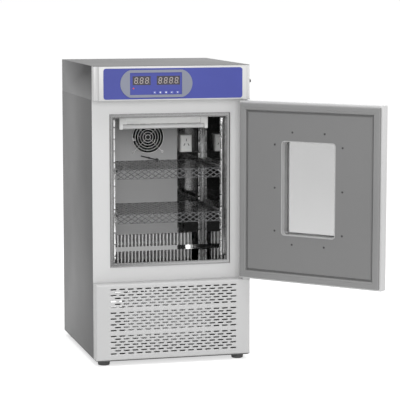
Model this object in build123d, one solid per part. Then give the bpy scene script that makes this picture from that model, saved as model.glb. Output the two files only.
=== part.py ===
from build123d import *
import math
import os

# A bench-high cooled incubator for biochemical oxygen demand tests, with its
# glazed door open. Millimetres, +X to the right, +Y to the rear, +Z up.
# The cabinet is drawn about X = 0 with its front at Y = 0 and its feet on Z = 0.

# Cabinet
cabinet_width = 540.0
cabinet_depth = 590.0
foot_height = 18.0
lower_panel_height = 263.0
control_box_height = 115.0
front_recess = 48.0
sheet = 1.2
panel_flange = 15.0
side_rounding = 15.0
lower_rounding = 6.0
swage_margin = 60.0
swage_depth = 3.0

# Chamber
chamber_width = 400.0
chamber_height = 500.0
floor_insulation = 60.5
ceiling_insulation = 58.5
rear_insulation = 58.8
coil_space = 142.0
liner_sheet = 1.0
drip_lip_height = 8.0
trim_width = 14.0
trim_proud = 3.0
trim_lip_depth = 6.0
trim_lip_thickness = 3.2
trim_clearance = 0.3

# Rear wall of the chamber
wall_sheet = 1.0
wall_fold = 5.0
wall_rise = 52.0
duct_right_edge = 108.0
wall_joint_gap = 0.5

# Evaporator and condenser
fin_thickness = 1.5
evaporator_pitch = 9.0
evaporator_width = 342.0
evaporator_x = -9.0
evaporator_height = 210.0
evaporator_depth = 88.0
evaporator_gap = 6.0
condenser_pitch = 14.0
condenser_width = 300.0
condenser_height = 200.0
condenser_depth = 44.0
condenser_front_y = 90.0
condenser_lift = 20.0
fin_spine = 8.0
end_plate = 2.0

# Fan
fan_size = 120.0
fan_depth = 38.0
fan_bore = 114.0
fan_drop = 98.5
fan_hub_radius = 21.0
fan_rotor_depth = 26.0
fan_blade_count = 7
fan_blade_thickness = 1.6
fan_tip_clearance = 2.0
fan_shaft_radius = 4.0
fan_shaft_clearance = 0.3
fan_blade_pitch = 38.0
fan_corner = 6.0
fan_strut_width = 5.0
fan_mount_thickness = 5.0
fan_rotor_gap = 1.0
guard_radius = 58.0
guard_wire = 2.0
guard_ring_count = 6
guard_screw_spacing = 105.0
guard_stand_off = 4.0

# Pilasters, runners and shelves
pilaster_flange = 16.0
pilaster_end_gap = 10.0
front_pilaster_setback = 32.0
rear_pilaster_gap = 12.0
notch_pitch = 40.0
notch_depth = 6.0
notch_height = 4.0
notch_offset = 3.5
runner_tab = 2.4
runner_ear = 10.0
runner_height = 16.0
runner_ledge = 12.0
runner_overhang = 6.0
shelf_sheet = 2.0
shelf_front_setback = 14.0
shelf_rear_gap = 12.0
shelf_border = 9.0
shelf_side_fold = 10.0
shelf_lip = 34.0
shelf_clearance = 0.4
slide_clearance = 0.3
upper_shelf_drop = 179.5
lower_shelf_rise = 168.5
mesh_pitch_x = 56.0
mesh_pitch_y = 34.0
mesh_strand = 3.0

# Lamp
lamp_length = 314.0
lamp_setback = 107.0
lamp_width = 34.0
lamp_base_height = 32.0
lamp_drop = 49.5
lamp_holder_length = 26.0
lamp_holder_jaw = 12.0
lamp_holder_rounding = 3.0
lamp_base_taper = 8.0
lamp_tube_radius = 8.0
lead_radius = 2.0
lead_share = 0.76
lead_wall_clearance = 1.0
lead_drop = 9.0
lead_bush_radius = 5.0
lead_bush_height = 5.0

# Outlet and temperature probe
outlet_width = 41.0
outlet_height = 62.0
outlet_depth = 24.0
outlet_x = 137.0
outlet_drop = 122.5
outlet_chamfer = 4.0
outlet_slot_depth = 3.0
outlet_slot_length = 7.0
outlet_slot_width = 1.6
outlet_slot_rise = 12.5
outlet_slot_spread = 7.0
outlet_slot_fall = 4.0
outlet_slot_turn = 30.0
probe_radius = 2.0
probe_start_x = -26.0
probe_end_x = 33.0
probe_start_drop = 165.5
probe_end_drop = 180.5
probe_stand_off = 5.0
probe_clip_width = 7.0
grommet_radius = 5.5
grommet_head = 4.0
grommet_chamfer = 2.0

# Controls
overlay_thickness = 0.8
overlay_margin_side = 30.0
overlay_margin_top = 8.0
overlay_margin_bottom = 4.0
overlay_rounding = 9.0
bezel_left_x = -183.0
bezel_right_x = 65.0
bezel_height = 92.0
bezel_end_radius = 48.0
bezel_thickness = 1.6
window_left_x = -150.0
window_right_x = 29.0
window_height = 74.0
display_height = 30.0
left_display_width = 62.0
right_display_width = 80.0
left_display_x = -110.0
right_display_x = -18.0
display_rise = 66.0
button_count = 5
button_pitch = 19.8
button_start_x = -66.0
button_rise = 26.0
button_width = 12.0
button_height = 9.0
button_proud = 1.4
button_length = 9.0
button_rounding = 2.0
button_clearance = 0.25
button_travel = 0.8
lamp_dot_radius = 2.5
lamp_dot_x = -138.0
lamp_dot_rise = 40.0
lamp_dot_proud = 1.6
lamp_dot_chamfer = 1.0
board_setback = 13.0
board_thickness = 1.6
board_border = 6.0
post_radius = 3.0
key_switch_width = 6.0

# Power switch
switch_length = 21.0
switch_height = 13.0
switch_y = 32.0
switch_rise = 59.0
switch_flange = 2.0
switch_flange_width = 1.5
switch_body_depth = 18.0
switch_wall = 1.5
rocker_clearance = 0.4
rocker_pivot_depth = 2.0
rocker_rise = 9.0
rocker_heel = 3.5
rocker_heel_taper = 1.5
rocker_tilt = 9.0
rocker_seat_depth = 8.0

# Door
door_thickness = 36.0
door_gap_top = 6.0
door_gap_bottom = 5.0
door_open_angle = 133.0
door_rounding = 5.0
pivot_inset = 12.0
pivot_setback = 12.0
rim_width = 9.0
gasket_inset = 6.0
gasket_width = 24.0
gasket_gap = 0.8
gasket_rounding = 8.0
liner_inset = 8.0
liner_raise = 6.0
liner_margin = 3.0
door_window_width = 199.0
door_window_height = 314.0
door_window_rise = 15.5
door_window_rounding = 10.0
surround_wall = 1.5
surround_flange = 3.0
surround_lip = 1.0
glass_thickness = 4.0
glass_clearance = 0.3
outer_glass_setback = 1.8
glass_spacing = 16.0
glass_lip = 4.0
screw_radius = 3.5
screw_head = 1.6
screw_side_x = 128.0
screw_side_z = 146.0
screw_end_x = 61.0
screw_end_z = 189.0

# Door handle
handle_length = 150.0
handle_width = 20.0
handle_reach = 38.0
handle_bar = 14.0
handle_foot = 20.0
handle_taper = 8.0
handle_inner_taper = 6.0
handle_inset = 45.0

# Hinges
bracket_thickness = 3.0
bracket_width = 26.0
bracket_length = 40.0
bracket_front_gap = 3.0
bracket_shift = 2.0
bracket_rounding = 4.0
pin_radius = 4.0
pin_length = 20.0
pin_end_gap = 1.0
pin_clearance = 0.3
bush_wall = 3.0

# Lower front grille
slot_length = 20.0
slot_width = 4.5
slot_pitch_x = 30.0
slot_pitch_z = 10.0
slot_columns = 15
rows_per_group = 7
row_groups = 3
grille_rise = 25.0

# Rear and machine compartment
louvre_length = 150.0
louvre_width = 6.0
louvre_pitch = 18.0
louvre_rows = 9
louvre_column_gap = 40.0
foot_radius = 22.5
foot_taper = 3.0
foot_inset_x = 34.0
foot_inset_y = 42.0
compressor_radius = 65.0
compressor_height = 150.0
compressor_x = 90.0
compressor_rear_gap = 170.0
seam_height = 62.0
seam_thickness = 6.0
seam_proud = 4.0
buffer_height = 10.0
buffer_radius = 10.0
plate_length = 200.0
plate_width = 130.0
plate_thickness = 3.0
inlet_width = 27.0
inlet_height = 20.0
inlet_x = -190.0
inlet_rise = 57.0
inlet_flange = 5.0
inlet_flange_thickness = 3.0
inlet_depth = 20.0
inlet_wall = 2.0
inlet_floor = 4.0
inlet_pin_spacing = 7.0
inlet_pin_offset = 2.0
inlet_pin_width = 2.0
inlet_pin_height = 4.0
inlet_pin_setback = 2.0

# Levels and planes that follow from the sizes above
half_width = cabinet_width / 2
base_z = foot_height
pan_top_z = base_z + sheet
ledge_z = base_z + lower_panel_height
chamber_floor_z = ledge_z + floor_insulation
chamber_top_z = chamber_floor_z + chamber_height
upper_shelf_rise = chamber_height - upper_shelf_drop
hood_z = chamber_top_z + ceiling_insulation
top_z = hood_z + control_box_height
frame_back_y = front_recess + sheet
chamber_x = chamber_width / 2
foam_back_y = cabinet_depth - sheet - swage_depth
liner_back_y = foam_back_y - rear_insulation - liner_sheet
wall_y = liner_back_y - coil_space
wall_bottom_z = chamber_floor_z + wall_rise
door_bottom_z = ledge_z + door_gap_bottom
door_top_z = hood_z - door_gap_top
door_mid_z = (door_bottom_z + door_top_z) / 2
window_mid_z = door_mid_z + door_window_rise
pivot_x = half_width - pivot_inset
pivot_y = pivot_setback
fan_z = chamber_top_z - fan_drop
shelf_half_width = chamber_x - pilaster_flange - wall_sheet - 2 * shelf_clearance
lamp_y = front_recess + lamp_setback
rocker_pivot_x = half_width - rocker_pivot_depth
liner_face_y = door_thickness + sheet + liner_raise
overlay_mid_z = hood_z + (control_box_height - overlay_margin_top + overlay_margin_bottom) / 2
compressor_y = cabinet_depth - compressor_rear_gap


def block(x0, x1, y0, y1, z0, z1):
    """A box between two corners."""
    size = Box(x1 - x0, y1 - y0, z1 - z0)
    return Pos((x0 + x1) / 2, (y0 + y1) / 2, (z0 + z1) / 2) * size


def rod_y(radius, x, z, y0, y1):
    """A round bar along Y."""
    return Pos(x, (y0 + y1) / 2, z) * Rot(X=90) * Cylinder(radius, y1 - y0)


def rod_z(radius, x, y, z0, z1):
    """A round bar along Z."""
    return Pos(x, y, (z0 + z1) / 2) * Cylinder(radius, z1 - z0)


def plate_y(outline, x, z, y0, y1):
    """A flat outline, drawn in X and Z, given its thickness along Y."""
    return Pos(x, y1, z) * (Rot(X=90) * extrude(outline, y1 - y0))


def ring_y(outer, inner, x, z, y0, y1):
    """A flat frame between two outlines, with its thickness along Y."""
    return plate_y(outer - inner, x, z, y0, y1)


def upright(points, z0, z1):
    """A plan outline of corner points, raised from z0 to z1."""
    return Pos(0, 0, z0) * extrude(make_face(Polyline(*points, close=True)), z1 - z0)


def rounded_front(width, depth, rounding):
    """Plan outline with its two front corners rounded, front edge on Y = 0."""
    half = width / 2
    top = Line((half, rounding), (half, depth))
    rear = Line((half, depth), (-half, depth))
    left = Line((-half, depth), (-half, rounding))
    left_arc = RadiusArc((-half, rounding), (-half + rounding, 0), rounding)
    front = Line((-half + rounding, 0), (half - rounding, 0))
    right_arc = RadiusArc((half - rounding, 0), (half, rounding), rounding)
    return make_face([top, rear, left, left_arc, front, right_arc])


def folded_front(depth, rounding, z0, z1):
    """Solid with rounded front corners, as deep as given."""
    return Pos(0, 0, z0) * extrude(rounded_front(cabinet_width, depth, rounding), z1 - z0)


def both_sides(left):
    """A left-hand piece with its mirror image on the right."""
    return left + mirror(left, Plane.YZ)


def front_shell(rounding, z0, z1):
    """Front cover folded back at its sides, top and bottom, open to the rear."""
    solid = folded_front(front_recess, rounding, z0, z1)
    inner_face = rounded_front(cabinet_width - 2 * sheet, front_recess, rounding - sheet)
    hollow = Pos(0, sheet, z0 + sheet) * extrude(inner_face, z1 - z0 - 2 * sheet)
    return solid - hollow


# Base, feet and outer panels


def base_pan():
    """Floor plate with two stiffening rails."""
    pan = folded_front(cabinet_depth, lower_rounding, base_z, pan_top_z)
    for side in (-1, 1):
        rail_x = side * (half_width - 3 * panel_flange)
        rail = block(rail_x - panel_flange / 2, rail_x + panel_flange / 2, frame_back_y + panel_flange,
                     cabinet_depth - 2 * panel_flange, pan_top_z, pan_top_z + panel_flange)
        groove = block(rail_x - panel_flange / 2 + sheet, rail_x + panel_flange / 2 - sheet,
                       frame_back_y + panel_flange, cabinet_depth - 2 * panel_flange,
                       pan_top_z, pan_top_z + panel_flange - sheet)
        pan += rail - groove
    return pan


def feet():
    """Four tapered rubber feet under the floor plate."""
    foot = Cone(foot_radius - foot_taper, foot_radius, foot_height)
    spacing_x = cabinet_width - 2 * foot_inset_x
    spacing_y = cabinet_depth - 2 * foot_inset_y
    places = Pos(0, cabinet_depth / 2, foot_height / 2) * GridLocations(spacing_x, spacing_y, 2, 2)
    return Part() + [place * foot for place in places]


def left_side_panel():
    """Side sheet with a folded flange at its front and rear edges."""
    x0 = -half_width
    y0 = frame_back_y
    y1 = cabinet_depth - sheet
    points = [
        (x0, y0),
        (x0 + panel_flange, y0),
        (x0 + panel_flange, y0 + sheet),
        (x0 + sheet, y0 + sheet),
        (x0 + sheet, y1 - sheet),
        (x0 + panel_flange, y1 - sheet),
        (x0 + panel_flange, y1),
        (x0, y1),
    ]
    return upright(points, pan_top_z, hood_z)


def right_side_panel():
    """The left sheet's mirror image."""
    return mirror(left_side_panel(), Plane.YZ)


def rear_panel():
    """Plain upper back sheet with a stiffening swage."""
    back = block(-half_width, half_width, cabinet_depth - sheet, cabinet_depth, ledge_z, hood_z)
    swage_x = half_width - swage_margin
    swage_low = ledge_z + swage_margin
    swage_high = hood_z - swage_margin
    swage = block(-swage_x, swage_x, cabinet_depth - sheet - swage_depth, cabinet_depth - sheet,
                  swage_low, swage_high)
    recess = block(-swage_x + sheet, swage_x - sheet, cabinet_depth - swage_depth, cabinet_depth,
                   swage_low + sheet, swage_high - sheet)
    return back + swage - recess


def rear_grille():
    """Lower back sheet with two columns of air slots."""
    back = block(-half_width, half_width, cabinet_depth - sheet, cabinet_depth, pan_top_z, ledge_z)
    centre_z = (pan_top_z + ledge_z) / 2
    slot = Box(louvre_length, 3 * sheet, louvre_width)
    places = GridLocations(louvre_length + louvre_column_gap, louvre_pitch, 2, louvre_rows)
    for place in places:
        back -= Pos(place.position.X, cabinet_depth, centre_z + place.position.Y) * slot
    return back


def machine_deck():
    """Deck between the machine space and the insulated chamber."""
    inner_x = half_width - sheet
    return block(-inner_x, inner_x, frame_back_y + sheet, cabinet_depth - 2 * sheet,
                 ledge_z - sheet, ledge_z)


def lower_front_panel():
    """Front cover of the machine space, punched with staggered slots."""
    panel = front_shell(lower_rounding, pan_top_z, ledge_z)
    slot = Box(slot_length, 3 * sheet, slot_width)
    slots = []
    for group in range(row_groups):
        for row in range(rows_per_group):
            index = group * (rows_per_group + 1) + row
            columns = slot_columns - index % 2
            z = base_z + grille_rise + index * slot_pitch_z
            for column in range(columns):
                x = (column - (columns - 1) / 2) * slot_pitch_x
                slots.append(Pos(x, 0, z) * slot)
    return panel - slots


# Chamber


def front_frame():
    """Painted front face around the chamber mouth."""
    opening = Rectangle(chamber_width + 2 * liner_sheet, chamber_height + 2 * liner_sheet)
    outline = Rectangle(cabinet_width, hood_z - ledge_z)
    middle_z = (ledge_z + hood_z) / 2
    shift = Pos(0, chamber_floor_z + chamber_height / 2 - middle_z)
    return ring_y(outline, shift * opening, 0, middle_z, front_recess, frame_back_y)


def chamber_trim():
    """Bright edging round the chamber mouth, with a lip that turns into the chamber."""
    middle_z = chamber_floor_z + chamber_height / 2
    lip_band = 2 * (trim_lip_thickness + trim_clearance)
    clear_width = chamber_width - lip_band
    clear_height = chamber_height - lip_band
    clear = Rectangle(clear_width, clear_height)
    band = Rectangle(clear_width + 2 * trim_width, clear_height + 2 * trim_width)
    lip = Rectangle(clear_width + 2 * trim_lip_thickness, clear_height + 2 * trim_lip_thickness)
    face = ring_y(band, clear, 0, middle_z, front_recess - trim_proud, front_recess)
    turn = ring_y(lip, clear, 0, middle_z, front_recess, front_recess + trim_lip_depth)
    return face + turn


def chamber_liner():
    """Stainless box, open to the front, with a drip lip at the back of its floor."""
    outer_x = chamber_x + liner_sheet
    outer = block(-outer_x, outer_x, front_recess, liner_back_y + liner_sheet,
                  chamber_floor_z - liner_sheet, chamber_top_z + liner_sheet)
    inner = block(-chamber_x, chamber_x, front_recess, liner_back_y, chamber_floor_z, chamber_top_z)
    lip = block(-chamber_x, chamber_x, wall_y - 2 * liner_sheet, wall_y,
                chamber_floor_z, chamber_floor_z + drip_lip_height)
    return outer - inner + lip


def chamber_insulation():
    """Foam between the outer panels and the liner."""
    outer_x = half_width - sheet
    void_x = chamber_x + liner_sheet
    foam = block(-outer_x, outer_x, frame_back_y + sheet, foam_back_y, ledge_z, hood_z)
    void = block(-void_x, void_x, front_recess, liner_back_y + liner_sheet,
                 chamber_floor_z - liner_sheet, chamber_top_z + liner_sheet)
    return foam - void


def duct_panel():
    """Painted cover over the coil and fan, folded back at its right edge."""
    left = -chamber_x + wall_joint_gap
    top = chamber_top_z - wall_joint_gap
    face = block(left, duct_right_edge, wall_y, wall_y + wall_sheet, wall_bottom_z, top)
    fold = block(duct_right_edge - wall_sheet, duct_right_edge, wall_y, wall_y + wall_fold, wall_bottom_z, top)
    foot = block(left, duct_right_edge, wall_y, wall_y + wall_fold, wall_bottom_z, wall_bottom_z + wall_sheet)
    panel = face + fold + foot
    return panel - rod_y(fan_bore / 2, 0, fan_z, wall_y - 1, wall_y + 3 * wall_sheet)


def socket_panel():
    """Bright panel beside the duct, which carries the outlet."""
    left = duct_right_edge + wall_joint_gap
    right = chamber_x - wall_joint_gap
    top = chamber_top_z - wall_joint_gap
    face = block(left, right, wall_y, wall_y + wall_sheet, wall_bottom_z, top)
    fold = block(right - wall_sheet, right, wall_y, wall_y + wall_fold, wall_bottom_z, top)
    foot = block(left, right, wall_y, wall_y + wall_fold, wall_bottom_z, wall_bottom_z + wall_sheet)
    return face + fold + foot


def finned_coil(width, depth, height, pitch):
    """Row of upright fins on a flat core, centred on the origin."""
    count = int(width / pitch)
    core = Box(width, fin_spine, height - 4 * fin_spine)
    fin = Box(fin_thickness, depth, height)
    fins = [Pos((index - (count - 1) / 2) * pitch, 0, 0) * fin for index in range(count)]
    return core + fins


def evaporator():
    """Finned cooling coil that stands in the space behind the duct panel."""
    coil_y = wall_y + evaporator_gap + evaporator_depth / 2
    coil_z = chamber_floor_z + fin_spine + evaporator_height / 2
    coil = Pos(evaporator_x, coil_y, coil_z) * finned_coil(evaporator_width, evaporator_depth,
                                                          evaporator_height, evaporator_pitch)
    for side in (-1, 1):
        x = evaporator_x + side * evaporator_width / 2
        coil += block(x - end_plate / 2, x + end_plate / 2, coil_y - evaporator_depth / 2, liner_back_y,
                      chamber_floor_z, coil_z + evaporator_height / 2)
    return coil


def pilaster(front):
    """Notched angle strip against the left chamber wall."""
    z0 = chamber_floor_z + pilaster_end_gap
    z1 = chamber_top_z - pilaster_end_gap
    x0 = -chamber_x
    x1 = x0 + pilaster_flange
    if front:
        face_y = front_recess + front_pilaster_setback
        turn = 1
    else:
        face_y = wall_y - rear_pilaster_gap
        turn = -1
    y_far = face_y + turn * pilaster_flange
    y_near = face_y + turn * wall_sheet
    y_low, y_high = sorted((face_y, y_far))
    f_low, f_high = sorted((face_y, y_near))
    strip = block(x0, x0 + wall_sheet, y_low, y_high, z0, z1)
    strip += block(x0, x1, f_low, f_high, z0, z1)
    count = int((z1 - z0) / notch_pitch)
    notch = Box(2 * notch_depth, 4 * wall_sheet, notch_height)
    for index in range(count):
        z = chamber_floor_z + notch_pitch * (index + 0.5) + notch_offset
        strip -= Pos(x1, face_y, z) * notch
    return strip


def pilasters(front):
    """A left and a right strip."""
    return both_sides(pilaster(front))


def runners(rise):
    """Angle runners hooked into the notches, one on each side."""
    shelf_z = chamber_floor_z + rise
    ledge_top = shelf_z - shelf_side_fold - slide_clearance
    web_out = chamber_x - pilaster_flange - shelf_clearance / 2
    web_in = web_out - wall_sheet
    y0 = front_recess + front_pilaster_setback - runner_overhang
    y1 = wall_y - rear_pilaster_gap + runner_overhang
    web = block(-web_out, -web_in, y0, y1, ledge_top - wall_sheet, ledge_top + runner_height)
    ledge = block(-web_out, -web_in + runner_ledge, y0, y1, ledge_top - wall_sheet, ledge_top)
    left = web + ledge
    tab_z = nearest_notch(ledge_top) - notch_height / 2 + slide_clearance
    tab_reach = notch_depth - 2 * slide_clearance
    ear_low = min(tab_z, ledge_top - wall_sheet)
    ear_high = max(tab_z + runner_tab, ledge_top)
    for y in (front_recess + front_pilaster_setback, wall_y - rear_pilaster_gap):
        left += block(-web_out - tab_reach, -web_in, y - runner_ear / 2, y + runner_ear / 2,
                      tab_z, tab_z + runner_tab)
        left += block(-web_out, -web_in, y - runner_ear / 2, y + runner_ear / 2, ear_low, ear_high)
    return both_sides(left)


def nearest_notch(z):
    """Centre height of the notch nearest to a level."""
    steps = round((z - chamber_floor_z - notch_offset) / notch_pitch - 0.5)
    return chamber_floor_z + notch_pitch * (steps + 0.5) + notch_offset


def diamond_pattern(width, length):
    """Staggered diamond holes that fill a rectangle, drawn flat about its centre."""
    half_x = mesh_pitch_x / 2 - mesh_strand
    half_y = mesh_pitch_y / 2 - mesh_strand
    hole = make_face(Polyline((-half_x, 0), (0, -half_y), (half_x, 0), (0, half_y), close=True))
    columns = max(1, int((width - mesh_strand) / mesh_pitch_x))
    rows = max(1, int((length - mesh_strand) / mesh_pitch_y))
    holes = [place * hole for place in GridLocations(mesh_pitch_x, mesh_pitch_y, columns, rows)]
    if columns > 1 and rows > 1:
        between = GridLocations(mesh_pitch_x, mesh_pitch_y, columns - 1, rows - 1)
        holes += [place * hole for place in between]
    return holes


def shelf(rise):
    """Expanded-metal tray: a flat with two side strips and a deep front apron welded under it."""
    z1 = chamber_floor_z + rise
    z0 = z1 - shelf_sheet
    y0 = front_recess + shelf_front_setback
    y1 = wall_y - shelf_rear_gap
    length = y1 - y0
    width = 2 * shelf_half_width
    holes = diamond_pattern(width - 2 * shelf_border, length - 2 * shelf_border)
    top = Rectangle(width, length) - holes
    welded = [Pos(0, (y0 + y1) / 2, z0) * extrude(top, shelf_sheet)]
    fold_z = z1 - shelf_side_fold
    for side in (-1, 1):
        x0, x1 = sorted((side * shelf_half_width, side * (shelf_half_width - shelf_sheet)))
        welded.append(block(x0, x1, y0 + shelf_sheet, y1, fold_z, z0))
    apron_height = shelf_lip - shelf_sheet
    apron_holes = diamond_pattern(width - 2 * shelf_border, apron_height - shelf_sheet)
    apron = Rectangle(width, apron_height) - apron_holes
    welded.append(plate_y(apron, 0, z0 - apron_height / 2, y0, y0 + shelf_sheet))
    return Compound([solid for piece in welded for solid in piece.solids()])


# Fan, lamp, outlet and probe


def fan_guard():
    """Round wire guard with four screw eyes at the corners of the fan."""
    y1 = wall_y
    ring_y0 = y1 - guard_stand_off - guard_wire
    step = guard_radius / (guard_ring_count + 0.5)
    guard = None
    for index in range(guard_ring_count):
        outer = guard_radius - index * step
        ring = ring_y(Circle(outer), Circle(outer - guard_wire), 0, fan_z, ring_y0, ring_y0 + guard_wire)
        guard = ring if guard is None else guard + ring
    eye = guard_screw_spacing / 2
    reach = 2 * eye * math.sqrt(2)
    arm_y = ring_y0 + guard_wire / 2
    for angle in (45, 135):
        arm = Box(reach, guard_wire, guard_wire)
        guard += Pos(0, arm_y + guard_wire / 2, fan_z) * Rot(Y=angle) * arm
    for x in (-eye, eye):
        for z in (-eye, eye):
            guard += rod_y(2 * guard_wire, x, fan_z + z, arm_y, y1)
    return guard


def fan_frame():
    """Square fan housing with three struts to the motor mount."""
    y0 = wall_y + wall_sheet
    y1 = y0 + fan_depth
    mount_y = y1 - fan_mount_thickness
    outline = RectangleRounded(fan_size, fan_size, fan_corner)
    frame = ring_y(outline, Circle(fan_bore / 2), 0, fan_z, y0, y1)
    strut = Box(fan_bore / 2 + 1, fan_mount_thickness, fan_strut_width)
    for index in range(3):
        turn = Rot(Y=90 + 120 * index)
        frame += Pos(0, (mount_y + y1) / 2, fan_z) * turn * Pos(fan_bore / 4, 0, 0) * strut
    mount = rod_y(fan_hub_radius, 0, fan_z, mount_y, y1)
    shaft = rod_y(fan_shaft_radius, 0, fan_z, mount_y - fan_rotor_depth / 2, mount_y)
    return frame + mount + shaft


def fan_rotor():
    """Hub with seven pitched blades, carried on the motor shaft."""
    y1 = wall_y + wall_sheet + fan_depth - fan_mount_thickness - fan_rotor_gap
    y0 = y1 - fan_rotor_depth
    rotor = rod_y(fan_hub_radius, 0, fan_z, y0, y1)
    tip = fan_bore / 2 - fan_tip_clearance
    root = fan_hub_radius - 2 * fan_blade_thickness
    blade = Rot(X=fan_blade_pitch) * Box(tip - root, fan_rotor_depth, fan_blade_thickness)
    for index in range(fan_blade_count):
        turn = Rot(Y=index * 360 / fan_blade_count)
        rotor += Pos(0, (y0 + y1) / 2, fan_z) * turn * Pos((tip + root) / 2, 0, 0) * blade
    bore = rod_y(fan_shaft_radius + fan_shaft_clearance, 0, fan_z,
                 y1 - fan_rotor_depth / 2 - fan_rotor_gap, y1 + fan_rotor_gap)
    return rotor - bore


def lamp_base():
    """Folded lamp channel with sloping sides, on the chamber ceiling."""
    half = lamp_width / 2
    narrow = half - lamp_base_taper
    length = lamp_length - 2 * lamp_holder_length
    outline = make_face(Polyline(
        (-half, 0), (half, 0), (narrow, -lamp_base_height), (-narrow, -lamp_base_height), close=True))
    bar = extrude(outline, length / 2, both=True)
    return Pos(0, lamp_y, chamber_top_z) * Rot(Z=90) * Rot(X=90) * bar


def lamp_holders():
    """Two end caps whose jaws hold the tube."""
    z1 = chamber_top_z
    z0 = z1 - lamp_drop
    x1 = lamp_length / 2
    step_z = z1 - lamp_base_height
    outline = make_face(Polyline(
        (x1, z0), (x1, z1), (x1 - lamp_holder_length, z1), (x1 - lamp_holder_length, step_z),
        (x1 - lamp_holder_jaw, step_z), (x1 - lamp_holder_jaw, z0), close=True))
    cap = Pos(0, lamp_y + lamp_width / 2, 0) * (Rot(X=90) * extrude(outline, lamp_width))
    cap = fillet(cap.edges().filter_by(Axis.Z).group_by(Axis.X)[-1], lamp_holder_rounding)
    return both_sides(cap)


def lamp_tube():
    """Slim fluorescent tube between the two jaws."""
    length = lamp_length - 2 * lamp_holder_jaw
    z = chamber_top_z - lamp_drop + lamp_tube_radius
    return Pos(0, lamp_y, z) * Rot(Y=90) * Cylinder(lamp_tube_radius, length)


def lamp_lead():
    """Short lead from the right end cap up to a bush in the ceiling."""
    x0 = lamp_length / 2
    x1 = x0 + lead_share * (chamber_x - lead_bush_radius - lead_wall_clearance - x0)
    z0 = chamber_top_z - lead_drop
    z1 = chamber_top_z - lead_bush_height / 2
    run = math.hypot(x1 - x0, z1 - z0)
    slope = math.degrees(math.atan2(z0 - z1, x1 - x0))
    lead = Pos((x0 + x1) / 2, lamp_y, (z0 + z1) / 2) * Rot(Y=90 + slope) * Cylinder(lead_radius, run)
    lead -= block(x0 - lead_bush_radius, x0, lamp_y - lead_bush_radius, lamp_y + lead_bush_radius,
                  z0 - lead_bush_radius, z0 + lead_bush_radius)
    return lead + rod_z(lead_bush_radius, x1, lamp_y, chamber_top_z - lead_bush_height, chamber_top_z)


def socket_outlet():
    """Surface outlet with a sloping surround and three pin slots."""
    z = chamber_top_z - outlet_drop
    y0 = wall_y - outlet_depth
    half_w = outlet_width / 2
    half_h = outlet_height / 2
    body = block(outlet_x - half_w, outlet_x + half_w, y0, wall_y, z - half_h, z + half_h)
    body = chamfer(body.faces().sort_by(Axis.Y)[0].edges(), outlet_chamfer)
    slot = Box(outlet_slot_width, 2 * outlet_slot_depth, outlet_slot_length)
    body -= Pos(outlet_x, y0, z + outlet_slot_rise) * slot
    for side in (-1, 1):
        place = Pos(outlet_x + side * outlet_slot_spread, y0, z - outlet_slot_fall)
        body -= place * Rot(Y=-side * outlet_slot_turn) * slot
    return body


def temperature_probe():
    """Slim sensor rod in a clip, with the bush where its wire goes through the duct."""
    y = wall_y - probe_stand_off
    z0 = chamber_top_z - probe_start_drop
    z1 = chamber_top_z - probe_end_drop
    run = math.hypot(probe_end_x - probe_start_x, z1 - z0)
    tilt = math.degrees(math.atan2(z0 - z1, probe_end_x - probe_start_x))
    middle_x = (probe_start_x + probe_end_x) / 2
    middle_z = (z0 + z1) / 2
    rod = Pos(middle_x, y, middle_z) * Rot(Y=tilt) * Rot(Y=90) * Cylinder(probe_radius, run)
    clip_height = 2 * (probe_radius + wall_sheet)
    clip_y0 = y - probe_radius - wall_sheet
    clip = Box(probe_clip_width, wall_y - clip_y0, clip_height)
    clip = Pos(middle_x, (clip_y0 + wall_y) / 2, middle_z) * Rot(Y=tilt) * clip
    bush = rod_y(grommet_radius, probe_end_x, z1, wall_y - 2 * grommet_head, wall_y)
    bush = chamfer(bush.edges().sort_by(Axis.Y)[0], grommet_chamfer)
    return rod + clip + bush


# Controls


def control_hood():
    """Roof with side and back walls, open at the front and below."""
    top = folded_front(cabinet_depth, side_rounding, top_z - sheet, top_z)
    outer = block(-half_width, half_width, front_recess, cabinet_depth, hood_z, top_z - sheet)
    inner = block(-half_width + sheet, half_width - sheet, front_recess, cabinet_depth - sheet,
                  hood_z, top_z - sheet)
    hole = block(inlet_x - inlet_width / 2, inlet_x + inlet_width / 2, cabinet_depth - 2 * sheet,
                 cabinet_depth + sheet, hood_z + inlet_rise - inlet_height / 2,
                 hood_z + inlet_rise + inlet_height / 2)
    return top + (outer - inner) - hole


def window_outline():
    """Clear window inside the bezel."""
    return Rectangle(window_right_x - window_left_x, window_height)


def display_places():
    """Place and width of the two displays."""
    return ((left_display_x, left_display_width), (right_display_x, right_display_width))


def button_places():
    """Places of the five buttons along their row."""
    return [button_start_x + index * button_pitch for index in range(button_count)]


def control_cuts(y0, y1):
    """Holes for the displays, the buttons and the indicator."""
    cuts = []
    for x, width in display_places():
        cuts.append(block(x - width / 2, x + width / 2, y0, y1,
                          hood_z + display_rise - display_height / 2,
                          hood_z + display_rise + display_height / 2))
    hole = RectangleRounded(button_width + 2 * button_clearance, button_height + 2 * button_clearance,
                            button_rounding)
    for x in button_places():
        cuts.append(plate_y(hole, x, hood_z + button_rise, y0, y1))
    cuts.append(rod_y(lamp_dot_radius, lamp_dot_x, hood_z + lamp_dot_rise, y0, y1))
    return cuts


def control_fascia():
    """Folded front of the control box, cut for the displays, buttons and switch."""
    fascia = front_shell(side_rounding, hood_z, top_z - sheet)
    switch_hole = block(half_width - 2 * sheet, half_width + sheet, switch_y - switch_length / 2,
                        switch_y + switch_length / 2, hood_z + switch_rise - switch_height / 2,
                        hood_z + switch_rise + switch_height / 2)
    return fascia - control_cuts(-1, 2 * sheet) - switch_hole


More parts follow.
